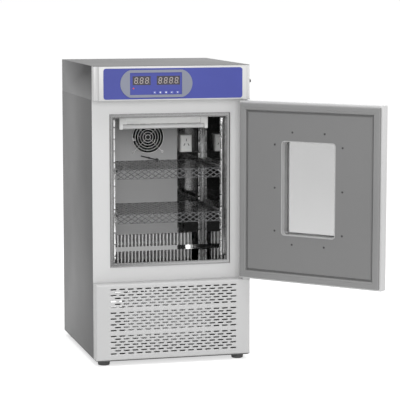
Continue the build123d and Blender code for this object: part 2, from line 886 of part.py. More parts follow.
def overlay_panel():
    """Blue front film with rounded corners."""
    width = cabinet_width - 2 * overlay_margin_side
    height = control_box_height - overlay_margin_top - overlay_margin_bottom
    film = plate_y(RectangleRounded(width, height, overlay_rounding), 0, overlay_mid_z,
                   -overlay_thickness, 0)
    return film - control_cuts(-2, 2)


def display_bezel():
    """Flat frame with full round ends about the clear window."""
    left_mid = bezel_left_x + bezel_end_radius
    right_mid = bezel_right_x - bezel_end_radius
    band = Rectangle(right_mid - left_mid, bezel_height)
    ends = Pos(-(right_mid - left_mid) / 2, 0) * Circle(bezel_end_radius)
    ends += Pos((right_mid - left_mid) / 2, 0) * Circle(bezel_end_radius)
    full = (band + ends) & Rectangle(bezel_right_x - bezel_left_x, bezel_height)
    middle = (bezel_left_x + bezel_right_x) / 2
    window_middle = (window_left_x + window_right_x) / 2
    outline = full - Pos(window_middle - middle, 0) * window_outline()
    return plate_y(outline, middle, overlay_mid_z, -overlay_thickness - bezel_thickness, -overlay_thickness)


def display(x, width):
    """Numeric display module, set flush in the film and seated on the board."""
    return block(x - width / 2, x + width / 2, -overlay_thickness, board_setback,
                 hood_z + display_rise - display_height / 2, hood_z + display_rise + display_height / 2)


def indicator_lamp():
    """Round indicator in its hole, with a bevelled head."""
    z = hood_z + lamp_dot_rise
    lens = rod_y(lamp_dot_radius, lamp_dot_x, z, -overlay_thickness - lamp_dot_proud, board_setback)
    return chamfer(lens.edges().sort_by(Axis.Y)[0], lamp_dot_chamfer)


def button(x):
    """Push button cap with a stem that reaches towards its switch."""
    z = hood_z + button_rise
    front = -overlay_thickness - button_proud
    outline = RectangleRounded(button_width, button_height, button_rounding)
    return plate_y(outline, x, z, front, front + button_length)


def control_board():
    """Circuit board on four posts, with a key switch behind each button."""
    z0 = hood_z + button_rise - button_height
    z1 = hood_z + display_rise + display_height / 2 + 2 * board_border
    x0 = window_left_x
    x1 = window_right_x
    board = block(x0, x1, board_setback, board_setback + board_thickness, z0, z1)
    for x in (x0 + board_border, x1 - board_border):
        for z in (z0 + board_border, z1 - board_border):
            board += rod_y(post_radius, x, z, sheet, board_setback)
    key_y = -overlay_thickness - button_proud + button_length + button_travel + slide_clearance
    key_half = key_switch_width / 2
    key_z = hood_z + button_rise
    for x in button_places():
        board += block(x - key_half, x + key_half, key_y, board_setback, key_z - key_half, key_z + key_half)
    return board


def switch_housing():
    """Power switch body in the right side of the control box."""
    z = hood_z + switch_rise
    x_face = half_width
    half_l = switch_length / 2
    half_h = switch_height / 2
    body = block(x_face - switch_body_depth, x_face, switch_y - half_l, switch_y + half_l, z - half_h, z + half_h)
    flange = block(x_face, x_face + switch_flange, switch_y - half_l - switch_flange_width,
                   switch_y + half_l + switch_flange_width, z - half_h - switch_flange_width,
                   z + half_h + switch_flange_width)
    well = block(x_face - rocker_seat_depth, x_face + 2 * switch_flange, switch_y - half_l + switch_wall,
                 switch_y + half_l - switch_wall, z - half_h + switch_wall, z + half_h - switch_wall)
    return body + flange - well


def power_rocker():
    """Rocker with a shallow V face, which tilts about an upright axis."""
    z = hood_z + switch_rise
    half_l = switch_length / 2 - switch_wall - rocker_clearance
    height = switch_height - 2 * switch_wall - 2 * rocker_clearance
    heel_y = half_l - rocker_heel_taper
    dip = half_l * math.tan(math.radians(rocker_tilt))
    outline = make_face(Polyline(
        (-rocker_heel, -heel_y), (rocker_rise + dip / 2, -half_l), (rocker_rise - dip / 2, 0),
        (rocker_rise + dip / 2, half_l), (-rocker_heel, heel_y), close=True))
    rocker = Rot(Z=-rocker_tilt / 2) * extrude(outline, height)
    return Pos(rocker_pivot_x, switch_y, z - height / 2) * rocker


def mains_inlet():
    """Recessed mains inlet on the back of the control box."""
    z = hood_z + inlet_rise
    half_w = inlet_width / 2
    half_h = inlet_height / 2
    floor_y = cabinet_depth - inlet_depth + inlet_floor
    flange_w = half_w + inlet_flange
    flange_h = half_h + inlet_flange
    flange_y = cabinet_depth + inlet_flange_thickness
    flange = block(inlet_x - flange_w, inlet_x + flange_w, cabinet_depth, flange_y, z - flange_h, z + flange_h)
    body = block(inlet_x - half_w, inlet_x + half_w, cabinet_depth - inlet_depth, cabinet_depth,
                 z - half_h, z + half_h)
    well = block(inlet_x - half_w + inlet_wall, inlet_x + half_w - inlet_wall, floor_y, flange_y + 1,
                 z - half_h + inlet_wall, z + half_h - inlet_wall)
    inlet = flange + body - well
    pin = Box(inlet_pin_width, cabinet_depth - inlet_pin_setback - floor_y, inlet_pin_height)
    pin_y = (cabinet_depth - inlet_pin_setback + floor_y) / 2
    for step, rise in ((-1, -inlet_pin_offset), (0, inlet_pin_offset), (1, -inlet_pin_offset)):
        inlet += Pos(inlet_x + step * inlet_pin_spacing, pin_y, z + rise) * pin
    return inlet


# Door, drawn shut and then swung open about its pins


def door_block(inset, y0, y1):
    """Box over the door's face, inset from its edges."""
    return block(-half_width + inset, half_width - inset, y0, y1, door_bottom_z + inset, door_top_z - inset)


def window_tunnel(grow, y0, y1):
    """Rounded window opening through the door, grown by a margin."""
    outline = RectangleRounded(door_window_width + 2 * grow, door_window_height + 2 * grow,
                               door_window_rounding + grow)
    return plate_y(outline, 0, window_mid_z, y0, y1)


def hinge_bores(radius):
    """Upper and lower pin holes."""
    upper = rod_z(radius, pivot_x, pivot_y, door_top_z - pin_length, door_top_z)
    lower = rod_z(radius, pivot_x, pivot_y, door_bottom_z, door_bottom_z + pin_length)
    return [upper, lower]


def door_shell():
    """Steel door pan with a folded rim, window opening and hinge bushes."""
    pan = door_block(0, 0, door_thickness)
    front_edges = pan.edges().filter_by(Axis.Z).group_by(Axis.Y)[0]
    pan = fillet(front_edges, door_rounding)
    hollow = door_block(sheet, sheet, door_thickness - sheet)
    mouth = door_block(rim_width, door_thickness - 2 * sheet, door_thickness + 1)
    shell = pan - hollow - mouth - window_tunnel(-glass_lip, -1, sheet + 1)
    bushes = hinge_bores(pin_radius + pin_clearance + bush_wall)
    return shell + bushes - hinge_bores(pin_radius + pin_clearance)


def door_insulation():
    """Foam core with the window opening through it."""
    foam = door_block(sheet, sheet, door_thickness - sheet)
    plug = door_block(rim_width, door_thickness - sheet, door_thickness)
    core = foam + plug - window_tunnel(surround_wall, 0, door_thickness + 1)
    return core - hinge_bores(pin_radius + pin_clearance + bush_wall)


def door_liner():
    """Inner panel with a raised field, cut for the window."""
    base = door_block(liner_inset, door_thickness, door_thickness + sheet)
    field_inset = gasket_inset + gasket_width + liner_margin
    field = door_block(field_inset, door_thickness, door_thickness + sheet + liner_raise)
    back_edges = field.faces().sort_by(Axis.Y)[-1].edges()
    field = chamfer(back_edges, liner_raise - 1)
    hollow = door_block(field_inset + liner_raise + sheet, door_thickness, door_thickness + liner_raise)
    liner = base + field - hollow
    return liner - window_tunnel(surround_wall, 0, 2 * door_thickness)


def door_gasket():
    """Magnetic seal round the door, on the edge of the inner panel."""
    width = cabinet_width - 2 * gasket_inset
    height = door_top_z - door_bottom_z - 2 * gasket_inset
    outer = RectangleRounded(width, height, gasket_rounding)
    inner = Rectangle(width - 2 * gasket_width, height - 2 * gasket_width)
    return ring_y(outer, inner, 0, door_mid_z, door_thickness + sheet, front_recess - gasket_gap)


def window_surround():
    """Tunnel lining with a narrow flange on the inner panel and a glass lip."""
    y1 = liner_face_y
    tube = window_tunnel(surround_wall, sheet, y1)
    flange = window_tunnel(surround_flange, y1, y1 + surround_lip)
    return tube + flange - window_tunnel(0, 0, y1 + 2 * surround_lip)


def glass_pane(y0):
    """One pane, held inside the tunnel lining."""
    return window_tunnel(-glass_clearance, y0, y0 + glass_thickness)


def liner_screws():
    """Ten pan heads round the window."""
    places = [(side * screw_side_x, z) for side in (-1, 1) for z in (-screw_side_z, 0, screw_side_z)]
    places += [(side * screw_end_x, end * screw_end_z) for side in (-1, 1) for end in (-1, 1)]
    y0 = liner_face_y
    return Part() + [rod_y(screw_radius, x, window_mid_z + z, y0, y0 + screw_head) for x, z in places]


def door_handle():
    """Bow handle on the outer face, near the free edge."""
    x = -half_width + handle_inset
    half = handle_length / 2
    gap = half - handle_foot
    bar_depth = handle_reach - handle_bar
    outer = make_face(Polyline(
        (0, -half), (0, half), (-handle_reach, half - handle_taper), (-handle_reach, -half + handle_taper),
        close=True))
    inner = make_face(Polyline(
        (0, -gap), (0, gap), (-bar_depth, gap - handle_inner_taper), (-bar_depth, -gap + handle_inner_taper),
        close=True))
    bow = extrude(outer - inner, handle_width / 2, both=True)
    return Pos(x, 0, door_mid_z) * Rot(Z=90) * Rot(X=90) * bow


def hinge_bracket(upper):
    """Flat bracket with a pin at the door's pivot."""
    x1 = pivot_x + bracket_width / 2 - bracket_shift
    x0 = x1 - bracket_width
    y0 = bracket_front_gap
    y1 = y0 + bracket_length
    if upper:
        z0 = hood_z - bracket_thickness
        z1 = hood_z
        pin = rod_z(pin_radius, pivot_x, pivot_y, door_top_z - pin_length + pin_end_gap, z1)
    else:
        z0 = ledge_z
        z1 = ledge_z + bracket_thickness
        pin = rod_z(pin_radius, pivot_x, pivot_y, z0, door_bottom_z + pin_length - pin_end_gap)
    plate = block(x0, x1, y0, y1, z0, z1)
    plate = fillet(plate.edges().filter_by(Axis.Z), bracket_rounding)
    return plate + pin


def swung(piece):
    """A door piece turned from shut to the open angle about the pins."""
    return Pos(pivot_x, pivot_y, 0) * Rot(Z=door_open_angle) * Pos(-pivot_x, -pivot_y, 0) * piece


# Machine space


def compressor():
    """Hermetic compressor dome on its mounting plate."""
    z0 = pan_top_z + buffer_height
    plate = block(compressor_x - plate_length / 2, compressor_x + plate_length / 2,
                  compressor_y - plate_width / 2, compressor_y + plate_width / 2, z0, z0 + plate_thickness)
    r = compressor_radius
    h = compressor_height
    profile = make_face(Polyline(
        (0, 0), (0.8 * r, 0), (r, 0.3 * r), (r, seam_height), (r + seam_proud, seam_height),
        (r + seam_proud, seam_height + seam_thickness), (r, seam_height + seam_thickness),
        (r, h - 0.55 * r), (0.87 * r, h - 0.25 * r), (0.6 * r, h - 0.07 * r), (0, h), close=True))
    drum = revolve(Rot(X=90) * profile, Axis.Z)
    unit = plate + Pos(compressor_x, compressor_y, z0 + plate_thickness) * drum
    buffers = []
    for dx in (-1, 1):
        for dy in (-1, 1):
            x = compressor_x + dx * (plate_length / 2 - buffer_radius)
            y = compressor_y + dy * (plate_width / 2 - buffer_radius)
            buffers.append(rod_z(buffer_radius, x, y, pan_top_z, z0))
    return unit + buffers


def condenser():
    """Finned condenser on two upright brackets behind the front grille."""
    z0 = pan_top_z + condenser_lift
    y1 = condenser_front_y + condenser_depth
    coil = Pos(0, (condenser_front_y + y1) / 2, z0 + condenser_height / 2) * finned_coil(
        condenser_width, condenser_depth, condenser_height, condenser_pitch)
    for side in (-1, 1):
        x = side * (condenser_width + end_plate) / 2
        coil += block(x - end_plate / 2, x + end_plate / 2, condenser_front_y, y1,
                      pan_top_z, z0 + condenser_height)
    return coil


def cabinet_pieces():
    """All pieces that stand still, by name."""
    pieces = {
        "base_pan": base_pan(),
        "feet": feet(),
        "left_side_panel": left_side_panel(),
        "right_side_panel": right_side_panel(),
        "rear_panel": rear_panel(),
        "rear_grille": rear_grille(),
        "machine_deck": machine_deck(),
        "lower_front_panel": lower_front_panel(),
        "front_frame": front_frame(),
        "chamber_trim": chamber_trim(),
        "chamber_liner": chamber_liner(),
        "chamber_insulation": chamber_insulation(),
        "duct_panel": duct_panel(),
        "socket_panel": socket_panel(),
        "evaporator": evaporator(),
        "front_pilasters": pilasters(True),
        "rear_pilasters": pilasters(False),
        "upper_runners": runners(upper_shelf_rise),
        "lower_runners": runners(lower_shelf_rise),
        "fan_guard": fan_guard(),
        "fan_frame": fan_frame(),
        "lamp_base": lamp_base(),
        "lamp_holders": lamp_holders(),
        "lamp_tube": lamp_tube(),
        "lamp_lead": lamp_lead(),
        "socket_outlet": socket_outlet(),
        "temperature_probe": temperature_probe(),
        "control_hood": control_hood(),
        "control_fascia": control_fascia(),
        "overlay_panel": overlay_panel(),
        "display_bezel": display_bezel(),
        "left_display": display(left_display_x, left_display_width),
        "right_display": display(right_display_x, right_display_width),
        "indicator_lamp": indicator_lamp(),
        "control_board": control_board(),
        "switch_housing": switch_housing(),
        "mains_inlet": mains_inlet(),
        "upper_hinge_bracket": hinge_bracket(True),
        "lower_hinge_bracket": hinge_bracket(False),
        "compressor": compressor(),
        "condenser": condenser(),
    }
    return pieces


def moving_pieces():
    """All pieces that move, by name, at rest with the door open."""
    pieces = {
        "fan_rotor": fan_rotor(),
        "upper_shelf": shelf(upper_shelf_rise),
        "lower_shelf": shelf(lower_shelf_rise),
        "power_rocker": power_rocker(),
        "door_shell": swung(door_shell()),
        "door_insulation": swung(door_insulation()),
        "door_liner": swung(door_liner()),
        "door_gasket": swung(door_gasket()),
        "window_surround": swung(window_surround()),
        "outer_glass": swung(glass_pane(sheet + outer_glass_setback)),
        "inner_glass": swung(glass_pane(sheet + outer_glass_setback + glass_thickness + glass_spacing)),
        "liner_screws": swung(liner_screws()),
        "door_handle": swung(door_handle()),
    }
    for index, x in enumerate(button_places()):
        pieces[f"button_{index + 1}"] = button(x)
    return pieces


def rest_origin(pieces):
    """Middle of the underside of the box that holds every piece."""
    boxes = [piece.bounding_box() for piece in pieces.values()]
    low_x = min(box.min.X for box in boxes)
    high_x = max(box.max.X for box in boxes)
    low_y = min(box.min.Y for box in boxes)
    high_y = max(box.max.Y for box in boxes)
    low_z = min(box.min.Z for box in boxes)
    return Vector((low_x + high_x) / 2, (low_y + high_y) / 2, low_z)


def build():
    """Every piece, moved so that the origin is under the middle of the whole."""
    pieces = {**cabinet_pieces(), **moving_pieces()}
    origin = rest_origin(pieces)
    shift = Pos(-origin.X, -origin.Y, -origin.Z)
    return {name: shift * piece for name, piece in pieces.items()}, origin


placed_pieces, part_origin = build()
os.makedirs("parts", exist_ok=True)
for node_name, node_piece in placed_pieces.items():
    export_step(node_piece, f"parts/{node_name}.step")
print(len(placed_pieces), "pieces, origin", part_origin)
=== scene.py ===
# %% [markdown]
# The object is an upright cooled incubator with its glazed door open. The CAD
# model gives every piece its place and its size. This lesson gives the pieces
# their finish, and makes finer meshes where the CAD solids are plain.
# Blender and the frame count in metres. Numbers that come from the drawing of
# the cabinet are millimetres, and the text says so where they first appear.

# %% Load the frame
import bpy
import bmesh
import math
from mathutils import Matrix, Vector


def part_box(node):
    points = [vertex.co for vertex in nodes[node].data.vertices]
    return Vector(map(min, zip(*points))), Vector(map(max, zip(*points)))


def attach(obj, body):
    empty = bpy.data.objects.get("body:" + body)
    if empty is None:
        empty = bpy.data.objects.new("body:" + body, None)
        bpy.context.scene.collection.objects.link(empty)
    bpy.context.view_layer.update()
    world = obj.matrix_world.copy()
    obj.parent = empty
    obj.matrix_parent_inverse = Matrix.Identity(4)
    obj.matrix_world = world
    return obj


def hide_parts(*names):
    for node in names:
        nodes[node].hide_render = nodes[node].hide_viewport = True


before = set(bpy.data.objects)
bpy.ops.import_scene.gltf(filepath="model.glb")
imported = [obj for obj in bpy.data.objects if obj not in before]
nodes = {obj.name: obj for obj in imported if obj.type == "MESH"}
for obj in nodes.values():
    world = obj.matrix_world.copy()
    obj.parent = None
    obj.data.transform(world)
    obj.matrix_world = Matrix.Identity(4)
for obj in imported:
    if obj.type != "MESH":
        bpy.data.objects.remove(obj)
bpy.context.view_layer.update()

# %% [markdown]
# The drawings of the cabinet measure from its middle, its front and the floor,
# in millimetres. The shared frame has its origin under the middle of the whole
# object with the open door. One small function turns the first into the
# second, so that the shapes below can use the numbers of the drawing. The door
# is drawn shut, so its points are also swung open by the angle of the photo.

# %% From the drawing to the frame
origin_x = 0.180396
origin_y = 0.0996135
hinge_x = 258.0
hinge_y = 12.0
mm = 1000
door_angle = math.radians(133.0)


def at(x, y, z):
    """A point of the cabinet's drawing, in millimetres, in the shared frame."""
    return Vector((x / mm - origin_x, y / mm - origin_y, z / mm))


def at_door(x, y, z):
    """A point of the shut door's drawing, swung open about the hinge."""
    dx, dy = x - hinge_x, y - hinge_y
    cos_a, sin_a = math.cos(door_angle), math.sin(door_angle)
    return at(hinge_x + dx * cos_a - dy * sin_a, hinge_y + dx * sin_a + dy * cos_a, z)


def drawing_box(node_name):
    """The box of a CAD node in the drawing: x0, x1, y0, y1, z0, z1 in millimetres."""
    low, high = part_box(node_name)
    return ((low.x + origin_x) * mm, (high.x + origin_x) * mm,
            (low.y + origin_y) * mm, (high.y + origin_y) * mm, low.z * mm, high.z * mm)


def drawing_middle(node_name):
    """The x and z of the middle of a CAD node, in the drawing."""
    box = drawing_box(node_name)
    return (box[0] + box[1]) / 2, (box[4] + box[5]) / 2


print("chamber's mouth in the drawing:", [round(v, 1) for v in drawing_box("chamber_trim")])

# %% [markdown]
# The camera comes first, because everything is judged through it. Its place
# was solved from the corners of the cabinet in the photograph: a long lens,
# a little above the middle, from the left.

# %% Camera
lens_length = 159.5
sensor_width = 36.0
nearest_seen, farthest_seen = 0.1, 400.0
camera_spot = Vector((-1.61882, -5.86738, 1.28369))
camera_aim = Vector((-0.08879, -0.09961, 0.55864))
camera_data = bpy.data.cameras.new("studio_camera")
camera_data.lens = lens_length
camera_data.sensor_width = sensor_width
camera_data.clip_start = nearest_seen
camera_data.clip_end = farthest_seen
camera = bpy.data.objects.new("studio_camera", camera_data)
bpy.context.scene.collection.objects.link(camera)
camera.location = camera_spot
camera.rotation_mode = "QUATERNION"
camera.rotation_quaternion = (camera_aim - camera_spot).to_track_quat("-Z", "Y")
bpy.context.scene.camera = camera
print("camera distance:", round((camera_aim - camera_spot).length, 3))

# %% [markdown]
# Three short helpers serve every mesh below. One puts a mesh in the scene and
# ties it to the body that it moves with. One builds a mesh from points and
# faces. One shades it smooth and keeps its real edges sharp.

# %% Small mesh helpers
def link(name, mesh, body, material=None):
    """Puts a mesh in the scene as a piece that rides on a body."""
    piece = bpy.data.objects.new(name, mesh)
    bpy.context.scene.collection.objects.link(piece)
    if material is not None:
        mesh.materials.append(material)
    if body is not None:
        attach(piece, body)
    return piece


def mesh_from(name, points, faces):
    """A mesh from points and faces, with its normals turned outwards."""
    mesh = bpy.data.meshes.new(name)
    mesh.from_pydata([tuple(p) for p in points], [], faces)
    work = bmesh.new()
    work.from_mesh(mesh)
    bmesh.ops.recalc_face_normals(work, faces=work.faces)
    work.to_mesh(mesh)
    work.free()
    return mesh


def soften(mesh, angle=35.0):
    """Smooth shading that keeps the edges sharper than an angle."""
    for polygon in mesh.polygons:
        polygon.use_smooth = True
    mesh.set_sharp_from_angle(angle=math.radians(angle))
    return mesh


# %% [markdown]
# A plain pale floor carries the soft shadow of the feet. It is one flat mesh,
# and it rides on no body.

# %% Floor
floor_reach = 120.0
floor_mesh = mesh_from("studio_floor", [
    (-floor_reach, -floor_reach, 0), (floor_reach, -floor_reach, 0),
    (floor_reach, floor_reach, 0), (-floor_reach, floor_reach, 0)], [(0, 1, 2, 3)])
floor = link("studio_floor", floor_mesh, None)
print("floor width in metres:", 2 * floor_reach)

# %% [markdown]
# Two helpers make shader trees short to write. One starts a group with its
# sockets. The other adds a node and sets its properties and inputs by name.

# %% Shader helpers
def new_group(name, inputs, outputs):
    """An empty shader group with named float sockets."""
    group = bpy.data.node_groups.new(name, "ShaderNodeTree")
    for socket, value in inputs:
        made = group.interface.new_socket(socket, in_out="INPUT", socket_type="NodeSocketFloat")
        made.default_value = value
    for socket in outputs:
        group.interface.new_socket(socket, in_out="OUTPUT", socket_type="NodeSocketFloat")
    entry = group.nodes.new("NodeGroupInput")
    leave = group.nodes.new("NodeGroupOutput")
    return group, entry, leave


def add_node(tree, kind, **values):
    """A node with its properties and unlinked inputs set by name."""
    node = tree.nodes.new(kind)
    for key, value in values.items():
        if key.startswith("in_"):
            node.inputs[key[3:].replace("_", " ")].default_value = value
        else:
            setattr(node, key, value)
    return node


# %% [markdown]
# Effects that several finishes share are node groups. Each one gives a tone
# that wanders slowly over the surface and a height for the Bump node. The
# shaders stay in the materials.

# %% Group: enamel skin
enamel_skin, entry, leave = new_group(
    "enamel skin", [("Grain Scale", 900.0), ("Cloud Scale", 3.0)], ["Tone", "Height"])
place = add_node(enamel_skin, "ShaderNodeTexCoord")
grain = add_node(enamel_skin, "ShaderNodeTexNoise", in_Detail=2.0, in_Roughness=0.6)
cloud = add_node(enamel_skin, "ShaderNodeTexNoise", in_Detail=3.0, in_Roughness=0.5)
enamel_skin.links.new(place.outputs["Object"], grain.inputs["Vector"])
enamel_skin.links.new(place.outputs["Object"], cloud.inputs["Vector"])
enamel_skin.links.new(entry.outputs["Grain Scale"], grain.inputs["Scale"])
enamel_skin.links.new(entry.outputs["Cloud Scale"], cloud.inputs["Scale"])
enamel_skin.links.new(cloud.outputs["Fac"], leave.inputs["Tone"])
enamel_skin.links.new(grain.outputs["Fac"], leave.inputs["Height"])
print("group made:", enamel_skin.name)

# %% [markdown]
# Rolled stainless steel has fine lines in one direction. A stretched noise
# gives them: it is scaled far more across the lines than along them.

# %% Group: rolled steel
rolled_steel, entry, leave = new_group(
    "rolled steel", [("Across", 900.0), ("Along", 12.0)], ["Tone", "Height"])
place = add_node(rolled_steel, "ShaderNodeTexCoord")
stretch = add_node(rolled_steel, "ShaderNodeCombineXYZ")
scaled = add_node(rolled_steel, "ShaderNodeVectorMath", operation="MULTIPLY")
lines = add_node(rolled_steel, "ShaderNodeTexNoise", in_Scale=1.0, in_Detail=3.0)
for axis in ("X", "Y"):
    rolled_steel.links.new(entry.outputs["Across"], stretch.inputs[axis])
rolled_steel.links.new(entry.outputs["Along"], stretch.inputs["Z"])
rolled_steel.links.new(place.outputs["Object"], scaled.inputs[0])
rolled_steel.links.new(stretch.outputs[0], scaled.inputs[1])
rolled_steel.links.new(scaled.outputs[0], lines.inputs["Vector"])
rolled_steel.links.new(lines.outputs["Fac"], leave.inputs["Tone"])
rolled_steel.links.new(lines.outputs["Fac"], leave.inputs["Height"])
print("group made:", rolled_steel.name)

# %% [markdown]
# Dust settles on what faces up. The group compares the surface normal with
# the vertical and breaks the result up with a noise.

# %% Group: settled dust
settled_dust, entry, leave = new_group("settled dust", [("Amount", 0.15)], ["Mask"])
surface = add_node(settled_dust, "ShaderNodeNewGeometry")
split = add_node(settled_dust, "ShaderNodeSeparateXYZ")
place = add_node(settled_dust, "ShaderNodeTexCoord")
patch = add_node(settled_dust, "ShaderNodeTexNoise", in_Scale=14.0, in_Detail=5.0)
facing = add_node(settled_dust, "ShaderNodeMath", operation="MULTIPLY", use_clamp=True)
scaled = add_node(settled_dust, "ShaderNodeMath", operation="MULTIPLY", use_clamp=True)
settled_dust.links.new(surface.outputs["Normal"], split.inputs[0])
settled_dust.links.new(place.outputs["Object"], patch.inputs["Vector"])
settled_dust.links.new(split.outputs["Z"], facing.inputs[0])
settled_dust.links.new(patch.outputs["Fac"], facing.inputs[1])
settled_dust.links.new(facing.outputs[0], scaled.inputs[0])
settled_dust.links.new(entry.outputs["Amount"], scaled.inputs[1])
settled_dust.links.new(scaled.outputs[0], leave.inputs["Mask"])
print("groups:", [group.name for group in bpy.data.node_groups])

# %% [markdown]
# One function makes each finish from the same parts: two colours that the
# group's tone mixes, a roughness band, and a bump. Nearly all of a noise lies
# between 0.3 and 0.7, so that range is spread over the whole band. Values that
# are the same all over sit on the shader itself, and the export keeps those.

# %% Finish builder
dust_colour = (0.55, 0.53, 0.5, 1.0)
noise_low, noise_high = 0.3, 0.7


def band(tree, source, low, high):
    """A value between low and high that follows a noise."""
    ramp = add_node(tree, "ShaderNodeMapRange", in_From_Min=noise_low, in_From_Max=noise_high)
    ramp.inputs["To Min"].default_value = low
    ramp.inputs["To Max"].default_value = high
    tree.links.new(source, ramp.inputs["Value"])
    return ramp.outputs["Result"]


def finish(name, colour, spread=0.05, roughness=(0.3, 0.4), group=None, metallic=0.0, bump=0.05,
           bump_reach=0.0002, dust=0.0, specular=0.5, coat=0.0, values=None):
    """A material whose colour, roughness and relief come from a shared group."""
    material = bpy.data.materials.new(name)
    material.use_nodes = True
    tree = material.node_tree
    shader = tree.nodes["Principled BSDF"]
    shader.inputs["Metallic"].default_value = metallic
    shader.inputs["Specular IOR Level"].default_value = specular
    shader.inputs["Coat Weight"].default_value = coat
    effect = tree.nodes.new("ShaderNodeGroup")
    effect.node_tree = group or enamel_skin
    for socket, value in (values or {}).items():
        effect.inputs[socket].default_value = value
    tone = add_node(tree, "ShaderNodeMix", data_type="RGBA")
    tone.inputs["A"].default_value = [c * (1 - spread) for c in colour] + [1.0]
    tone.inputs["B"].default_value = [min(1.0, c * (1 + spread)) for c in colour] + [1.0]
    tree.links.new(band(tree, effect.outputs["Tone"], 0.0, 1.0), tone.inputs["Factor"])
    coloured = tone.outputs["Result"]
    if dust:
        layer = tree.nodes.new("ShaderNodeGroup")
        layer.node_tree = settled_dust
        layer.inputs["Amount"].default_value = dust
        dusty = add_node(tree, "ShaderNodeMix", data_type="RGBA")
        dusty.inputs["B"].default_value = dust_colour
        tree.links.new(layer.outputs["Mask"], dusty.inputs["Factor"])
        tree.links.new(coloured, dusty.inputs["A"])
        coloured = dusty.outputs["Result"]
    tree.links.new(coloured, shader.inputs["Base Color"])
    tree.links.new(band(tree, effect.outputs["Tone"], *roughness), shader.inputs["Roughness"])
    relief = add_node(tree, "ShaderNodeBump", in_Strength=bump, in_Distance=bump_reach)
    tree.links.new(effect.outputs["Height"], relief.inputs["Height"])
    tree.links.new(relief.outputs["Normal"], shader.inputs["Normal"])
    return material


# %% [markdown]
# The cabinet's sheets are stove enamelled: a smooth satin coat with a faint
# orange peel, pale at the front and dark grey at the sides, roof and back. The
# side panels take a darker copy of the dark grey, which is painted shade.

# %% Enamels
pale_enamel = finish("pale enamel", (0.635, 0.635, 0.635), 0.012, (0.38, 0.46), bump=0.06, dust=0.05)
fascia_enamel = finish("fascia enamel", (0.64, 0.64, 0.64), 0.012, (0.36, 0.44), bump=0.06, dust=0.05)
grille_enamel = finish("grille enamel", (0.565, 0.565, 0.565), 0.012, (0.38, 0.46), bump=0.06, dust=0.08)
# The side panels' copy of the dark grey is darker than the roof's: painted shade.
painted_shade_side_enamel = finish("side enamel painted shade", (0.083, 0.083, 0.084), 0.03, (0.42, 0.52), bump=0.1, dust=0.08)
dark_enamel = finish("dark enamel", (0.125, 0.125, 0.127), 0.03, (0.42, 0.52), bump=0.1, dust=0.08)
duct_enamel = finish("duct enamel", (0.46, 0.46, 0.462), 0.03, (0.45, 0.55), bump=0.08, dust=0.05)
liner_grey = finish("door liner grey", (0.2, 0.2, 0.2), 0.02, (0.45, 0.55), bump=0.1)
surround_silver = finish("window surround", (0.42, 0.42, 0.42), 0.02, (0.35, 0.45), bump=0.05)
black_enamel = finish("compressor black", (0.02, 0.02, 0.021), 0.2, (0.25, 0.4), bump=0.1, dust=0.25)
print("finishes so far:", len(bpy.data.materials))

# %% [markdown]
# The chamber is rolled stainless steel, bright enough to mirror the shelves
# and fins. The lines of the group run through its tone and its relief. The
# shelves, the fan guard, the brackets and the screws take the plain grain.

# %% Metals
bright_steel = finish("bright rolled steel", (0.5, 0.5, 0.5), 0.08, (0.015, 0.05), rolled_steel, 1.0, 0.008)
# The socket panel's steel is a darker copy of the chamber's steel: painted shade.
painted_shade_socket_steel = finish("socket panel steel painted shade", (0.3, 0.3, 0.3), 0.3, (0.02, 0.08), rolled_steel, 1.0, 0.02)
trim_steel = finish("edging steel", (0.3, 0.3, 0.3), 0.08, (0.16, 0.28), rolled_steel, 1.0, 0.04)
# The pilasters and runners take a lighter copy of the chamber's steel: painted light.
painted_light_strip_steel = finish("pilaster steel painted light", (0.75, 0.75, 0.75), 0.1, (0.18, 0.3), rolled_steel, 1.0, 0.05)
mesh_zinc = finish("plated mesh", (0.11, 0.11, 0.113), 0.25, (0.2, 0.35), metallic=1.0, bump=0.15,
                   values={"Grain Scale": 700.0, "Cloud Scale": 60.0})
guard_plating = finish("guard plating", (0.9, 0.9, 0.9), 0.04, (0.25, 0.35), metallic=0.9, bump=0.03)
fin_metal = finish("fin aluminium", (0.92, 0.92, 0.92), 0.08, (0.4, 0.55), rolled_steel, 0.25, 0.1,
                   values={"Across": 260.0, "Along": 20.0})
bracket_metal = finish("bracket steel", (0.5, 0.5, 0.5), 0.1, (0.25, 0.4), metallic=1.0, bump=0.1)
screw_metal = finish("screw steel", (0.09, 0.09, 0.09), 0.15, (0.35, 0.45), metallic=1.0, bump=0.08)
print("finishes so far:", len(bpy.data.materials))

# %% [markdown]
# Plastics and rubber are dull and a little uneven. The films of the control
# panel are smooth, with a slow drift of colour from the light in the print.

# %% Plastics and rubber
white_plastic = finish("white plastic", (0.86, 0.86, 0.85), 0.02, (0.3, 0.4), bump=0.04)
tube_white = finish("lamp tube white", (0.66, 0.66, 0.66), 0.02, (0.12, 0.2), bump=0.01, coat=0.3)
black_plastic = finish("black plastic", (0.02, 0.02, 0.021), 0.2, (0.4, 0.55), bump=0.2)
foot_rubber = finish("foot rubber", (0.09, 0.09, 0.09), 0.15, (0.6, 0.75), bump=0.3)
seal_rubber = finish("seal rubber", (0.25, 0.25, 0.25), 0.04, (0.5, 0.6), bump=0.12)
foam_yellow = finish("rigid foam", (0.75, 0.68, 0.45), 0.1, (0.8, 0.9), bump=0.5)
film_blue = finish("blue film", (0.042, 0.055, 0.30), 0.06, (0.3, 0.38), bump=0.02,
                   values={"Cloud Scale": 6.0})
button_blue = finish("button blue", (0.08, 0.1, 0.42), 0.05, (0.3, 0.4), bump=0.04)
bezel_silver = finish("silver print", (0.215, 0.23, 0.29), 0.04, (0.3, 0.38), bump=0.02)
display_dark = finish("display window", (0.035, 0.03, 0.045), 0.15, (0.08, 0.14), bump=0.01, coat=0.4)
segment_grey = finish("unlit segment", (0.42, 0.37, 0.36), 0.05, (0.3, 0.4), bump=0.02)
